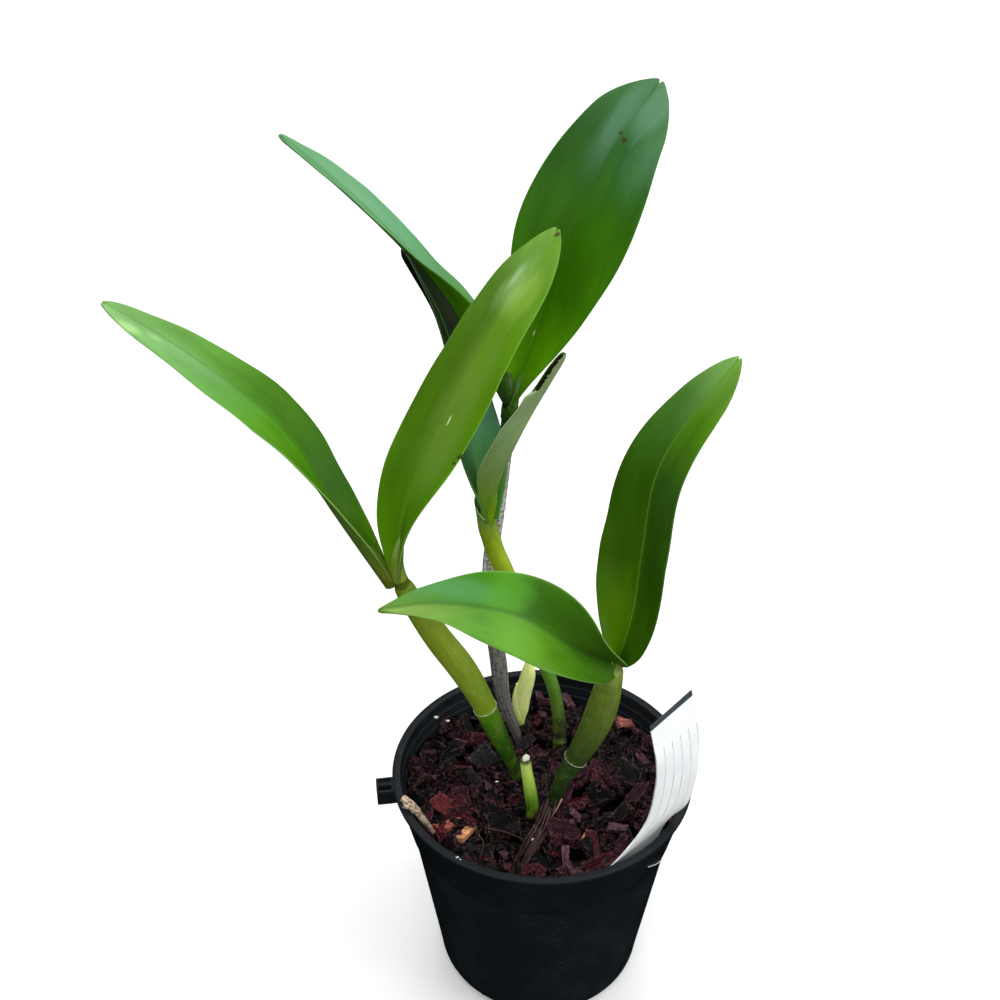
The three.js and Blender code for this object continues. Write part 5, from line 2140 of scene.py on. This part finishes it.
@dataclass
class PlantLabel:
    """The plant label: a thin strip bent by the pot's wall, with its foot in the bark."""

    left: Points = (
        (6, -55, 86), (18, -55.5, 98), (30, -52, 109), (42, -43, 122), (45, -41, 140), (44.6, -41, 153),
        (41.2, -39.2, 170.6),
    )
    right: Points = (
        (28, -45, 80), (42, -38, 92), (52.5, -28, 109), (59.5, -30, 121), (62.5, -29, 138), (62, -27, 156),
        (57.5, -25.5, 178),
    )
    thickness: float = 0.6
    stations: int = 110
    columns: int = 17

    def build(self) -> list[Piece]:
        """Makes the strip, dressed and in place.

        Returns:
            The pieces.
        """
        share = np.linspace(0, 1, self.stations)
        left, right = Path(self.left), Path(self.right)
        near, far = left.raw(share), right.raw(share)
        width = np.linalg.norm(far - near, axis=1)
        across = unit(far - near)
        run = np.concatenate([[0.0], np.cumsum(np.linalg.norm(np.diff((near + far) / 2, axis=0), axis=1))])
        step = np.gradient((near + far) / 2, axis=0)
        along = square_to(across, step)
        out = np.cross(across, along)
        spread = np.linspace(0, 1, self.columns)
        middle = near[:, None, :] + (far - near)[:, None, :] * spread[None, :, None]
        half = out[:, None, :] * self.thickness / 2
        points = np.vstack([(middle + half).reshape(-1, 3), (middle - half).reshape(-1, 3)])
        grid = np.stack([width[:, None] * spread, run[:, None] + 0 * spread], axis=-1)
        uv = np.tile(grid.reshape(-1, 2), (2, 1))
        strip = make_piece("plant_label_strip", points, sheet_faces(self.stations, self.columns), uv)
        face_outwards(strip)
        strip.data.set_sharp_from_angle(angle=math.radians(40))
        white = LabelFinish().material("white_polystyrene_strip", float(run[-1]))
        return [dress(strip, white, "label", "plant_label")]


@dataclass
class DryRoot:
    """The dead root that lies from the lip down over the bark, wrinkled, forked and frayed."""

    path: Points = ((-58, -24, 112.9), (-54.6, -26.6, 112), (-50.6, -29, 108), (-44.5, -32.5, 101.5))
    radii: Sequence[float] = (1.5, 1.6, 1.35, 0.8)
    fork: Points = ((-57.6, -27.4, 112.2), (-54.4, -28.0, 111.6), (-50.2, -29.6, 107.6))
    fork_radii: Sequence[float] = (1.1, 1.2, 0.7)
    sides: int = 40
    stations: int = 110

    def strand(self, path: Points, radii: Sequence[float], seed: float) -> Piece:
        """One wrinkled strand of the root.

        Args:
            path: Its centre line.
            radii: Its radii along the line.
            seed: Picks its wrinkles.

        Returns:
            The strand, in place.
        """
        share = np.linspace(0, 1, self.stations)
        angle = angles_round(self.sides)
        turn, along = np.meshgrid(angle, share * 20, indexing="xy")
        wrinkles = 1 + 0.22 * lumps(seed, np.cos(turn) * 2, np.sin(turn) * 2 + along * 0.12, 0.7)
        wrinkles += 0.14 * lumps(seed + 2, turn * 3, along, 1.1)
        radius = read_along(radii, share)[:, None] * wrinkles
        return tube("strand", Path(path), share, radius, reference=UP)

    def build(self) -> list[Piece]:
        """Makes the root, dressed and in place.

        Returns:
            The pieces.
        """
        strands = [self.strand(self.path, self.radii, 3.0), self.strand(self.fork, self.fork_radii, 8.0)]
        skin = Skins.DRY_ROOT.value.material("dead_root_velamen")
        return [dress(joined("dry_root_skin", strands), skin, "dry_root", "dry_root")]


@dataclass
class OldSheath:
    """The shred of old sheath: dark fibres that have parted along their length."""

    path: Points = ((4.4, -14, 107), (1, -27, 104), (-4, -38, 102), (-10, -52, 100.5))
    radii: Sequence[float] = (1.5, 2.0, 1.9, 1.0)
    fibres: int = 20
    seed: int = 5

    def build(self) -> list[Piece]:
        """Makes the fibres as one piece, dressed and in place.

        Returns:
            The pieces.
        """
        pick = random.Random(self.seed)
        line = Path(self.path)
        fibres = []
        for count in range(self.fibres):
            angle, reach = pick.uniform(0, math.tau), pick.uniform(0.1, 1.0) ** 0.7 * 1.7
            twist = pick.uniform(-1.6, 1.6)
            start, end = pick.uniform(0.0, 0.45), pick.uniform(0.55, 1.0)
            share = np.linspace(start, end, 9)
            centre, along = line.at(share), line.direction(share)
            across = square_to(along, np.tile([0.0, 0.0, 1.0], (len(share), 1)))
            side = np.cross(along, across)
            bulge = read_along(self.radii, share) * reach
            turn = angle + twist * share
            offset = across * (0.5 * bulge * np.cos(turn))[:, None] + side * (bulge * np.sin(turn))[:, None]
            fibre = Path((centre + offset).tolist())
            steps = np.linspace(0, 1, 30)
            taper = np.minimum(1, 6 * np.minimum(steps, 1 - steps) + 0.2)
            thick = pick.uniform(0.25, 0.7)
            flat = 1 + 0.5 * np.cos(2 * np.arange(8) / 8 * math.tau)
            radius = thick * taper[:, None] * flat[None, :]
            fibres.append(tube(f"fibre_{count}", fibre, steps, radius, reference=UP))
        skin = Skins.OLD_SHEATH.value.material("dry_sheath_fibre")
        return [dress(joined("old_sheath_fibres", fibres), skin, "old_sheath", "old_sheath")]


@dataclass
class Litter:
    """The loose bits on the bark and the pot: a straw, dark and pale fibres and white crumbs."""

    straws: Sequence[Points] = (((8.8, -16.7, 108), (6.8, -19.4, 105), (4.3, -21.7, 101.5)),)
    threads: Sequence[Points] = (
        ((-22.4, -30.1, 103), (-14.5, -32.2, 103.2), (-6.3, -35.5, 102.8)),
        ((-26, -33, 102.2), (-23.5, -38, 102.6), (-24.5, -45, 101.4)),
    )
    scratches: Sequence[Points] = (((44.9, -40.8, 94.6), (48.8, -34.4, 89.4), (51.7, -27.6, 84.4)),)
    crumbs: Sequence[tuple[Triple, float]] = (
        ((-48.9, 32.6, 107.4), 1.1), ((-43.6, 31.6, 106.2), 1.0), ((-19.5, -2.3, 102.5), 0.8),
        ((-33.2, -53.1, 110.1), 0.7), ((-31.9, -54.1, 110.1), 0.4), ((-3.0, -35.1, 102.5), 1.0),
    )

    def crumb(self, centre: Triple, radius: float, seed: float) -> Piece:
        """One white crumb, a rough little stone.

        Args:
            centre: Its centre.
            radius: Its radius.
            seed: Picks its chance shape.

        Returns:
            The crumb.
        """
        x, y, z = centre
        share = np.linspace(0, 1, 9)
        turn = angles_round(12)
        round_off = np.sin(np.clip(share, 0.04, 0.96) * math.pi) ** 0.6
        x_turn, y_turn = np.cos(turn) + share[:, None], np.sin(turn) + 0 * share[:, None]
        rough = 1 + 0.3 * lumps(seed, x_turn, y_turn, 0.8)
        line = Path([(x - radius, y, z), (x, y, z), (x + radius, y, z)])
        return tube("crumb", line, share, 0.6 * radius * round_off[:, None] * rough, reference=UP)

    def build(self) -> list[Piece]:
        """Makes the bits, dressed and in place.

        Returns:
            The pieces.
        """
        share = np.linspace(0, 1, 24)
        kinds = (
            ("straw", self.straws, 0.32, Skins.STRAW, "dry_straw"),
            ("bark_threads", self.threads, 0.3, Skins.OLD_SHEATH, "dry_bark_thread"),
            ("pale_thread", self.scratches, 0.22, Skins.WHITE_CRUMB, "pale_fibre"),
        )
        made = []
        for name, lines, radius, skin, title in kinds:
            thick = np.full(len(share), radius)
            strands = [tube("strand", Path(line), share, thick, sides=8) for line in lines]
            made.append(dress(joined(name, strands), skin.value.material(title), "bark"))
        grains = [self.crumb(*place, 3.1 * count) for count, place in enumerate(self.crumbs)]
        white = Skins.WHITE_CRUMB.value.material("perlite_crumb")
        return [*made, dress(joined("white_crumbs", grains), white, "bark")]


# ---- hidden solids


def dress_rhizome() -> Piece:
    """Gives the buried rhizome, which keeps its solid, a woody skin.

    Returns:
        The rhizome.
    """
    finish = CrumbFinish({0: "#4b3a2a", 1: "#6a5238"})
    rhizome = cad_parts["rhizome"]
    rhizome.data.materials.clear()
    rhizome.data.materials.append(finish.material("rhizome_bark"))
    return rhizome


# ---- stage


@dataclass(frozen=True)
class SoftLight:
    """A square soft light: where it hangs and its size in millimetres, its power, and its sheen."""

    name: str
    at: Triple
    size: float
    power: float
    sheen: bool = False
    towards: Triple = (0.0, 0.0, 180.0)


@dataclass
class Studio:
    """The pale floor, the soft lights and the camera."""

    camera_at: Triple = (0.6, -432.8, 529.0)
    pitch: float = 33.0
    yaw: float = 2.5
    lens: float = 48.96
    floor_size: float = 4400.0
    floor: str = "#f7f8f8"
    lights: tuple[SoftLight, ...] = (
        SoftLight("overhead", (250, 300, 3000), 5000.0, 150.0, sheen=True),
        SoftLight("front", (-300, -2600, 1500), 2500.0, 60.0),
        SoftLight("left", (-2600, 300, 1100), 2200.0, 16.0),
        SoftLight("right", (2600, -500, 1100), 2200.0, 50.0, sheen=True),
        SoftLight("back", (0, 2600, 1100), 2200.0, 28.0),
    )

    def build(self) -> None:
        """Makes the whole stage."""
        self.camera()
        self.ground()
        for light in self.lights:
            self.hang(light)
        self.backdrop()
        bpy.context.scene.view_settings.view_transform = "Standard"

    def camera(self) -> None:
        """Looks down at the plant from the front."""
        data = bpy.data.cameras.new("camera")
        data.lens, data.sensor_width = self.lens, 36.0
        camera = add_object("camera", data)
        camera.location = Vector(self.camera_at) * MM
        camera.rotation_euler = (math.radians(90 - self.pitch), 0.0, math.radians(self.yaw))
        bpy.context.scene.camera = camera

    def backdrop(self) -> None:
        """Sets the white air behind the floor, which lights nothing itself."""
        world = bpy.data.worlds.new("studio_air")
        world.use_nodes = True
        background = world.node_tree.nodes["Background"]
        background.inputs["Color"].default_value = linear("#ffffff")
        background.inputs["Strength"].default_value = 1.0
        world.cycles_visibility.diffuse = False
        world.cycles_visibility.glossy = False
        bpy.context.scene.world = world

    def ground(self) -> None:
        """Lays the floor that the pot stands on, which throws no light back up."""
        half = self.floor_size / 2
        corners = np.array([(-half, -half, 0), (half, -half, 0), (half, half, 0), (-half, half, 0)], float)
        floor = make_piece("floor", corners, [(0, 1, 2, 3)], smooth=False)
        shader = Shader("matte_paper_backdrop")
        mist = shader.solid_grain(90.0)
        colour = shader.add(Step.BLEND, 0.0, self.floor, self.floor)
        colour = shader.add(Step.SHADED, colour, shader.add(Step.SPAN, mist, *MIDDLE, 0.99, 1.0))
        rough = shader.add(Step.SPAN, mist, *MIDDLE, 0.8, 0.85)
        floor.data.materials.append(shader.finish(colour, rough, mist, 0.01))
        floor.visible_diffuse = False
        floor.visible_glossy = False

    def hang(self, light: SoftLight) -> None:
        """Hangs one soft light.

        Args:
            light: The light.
        """
        data = bpy.data.lights.new(light.name, "AREA")
        data.size, data.energy = light.size * MM, light.power
        lamp = add_object(light.name, data)
        lamp.location = Vector(light.at) * MM
        lamp.rotation_euler = (Vector(light.towards) - Vector(light.at)).to_track_quat("-Z", "Y").to_euler()
        lamp.visible_glossy = light.sheen


def main() -> None:
    """Builds the studio and every sub-assembly in order."""
    logging.basicConfig(level=logging.INFO, format="%(name)s: %(message)s")
    Studio().build()
    pot = NurseryPot()
    plant = (*PSEUDOBULBS, *SHOOTS, *LEAVES, *STALKS)
    makers = (pot, BarkMix(pot), *plant, PlantLabel(), DryRoot(), OldSheath(), Litter())
    for maker in makers:
        for piece in maker.build():
            LOG.info("%s: %d faces", piece.name, len(piece.data.polygons))
    LOG.info("%s keeps its solid", dress_rhizome().name)


if __name__ == "__main__":
    main()
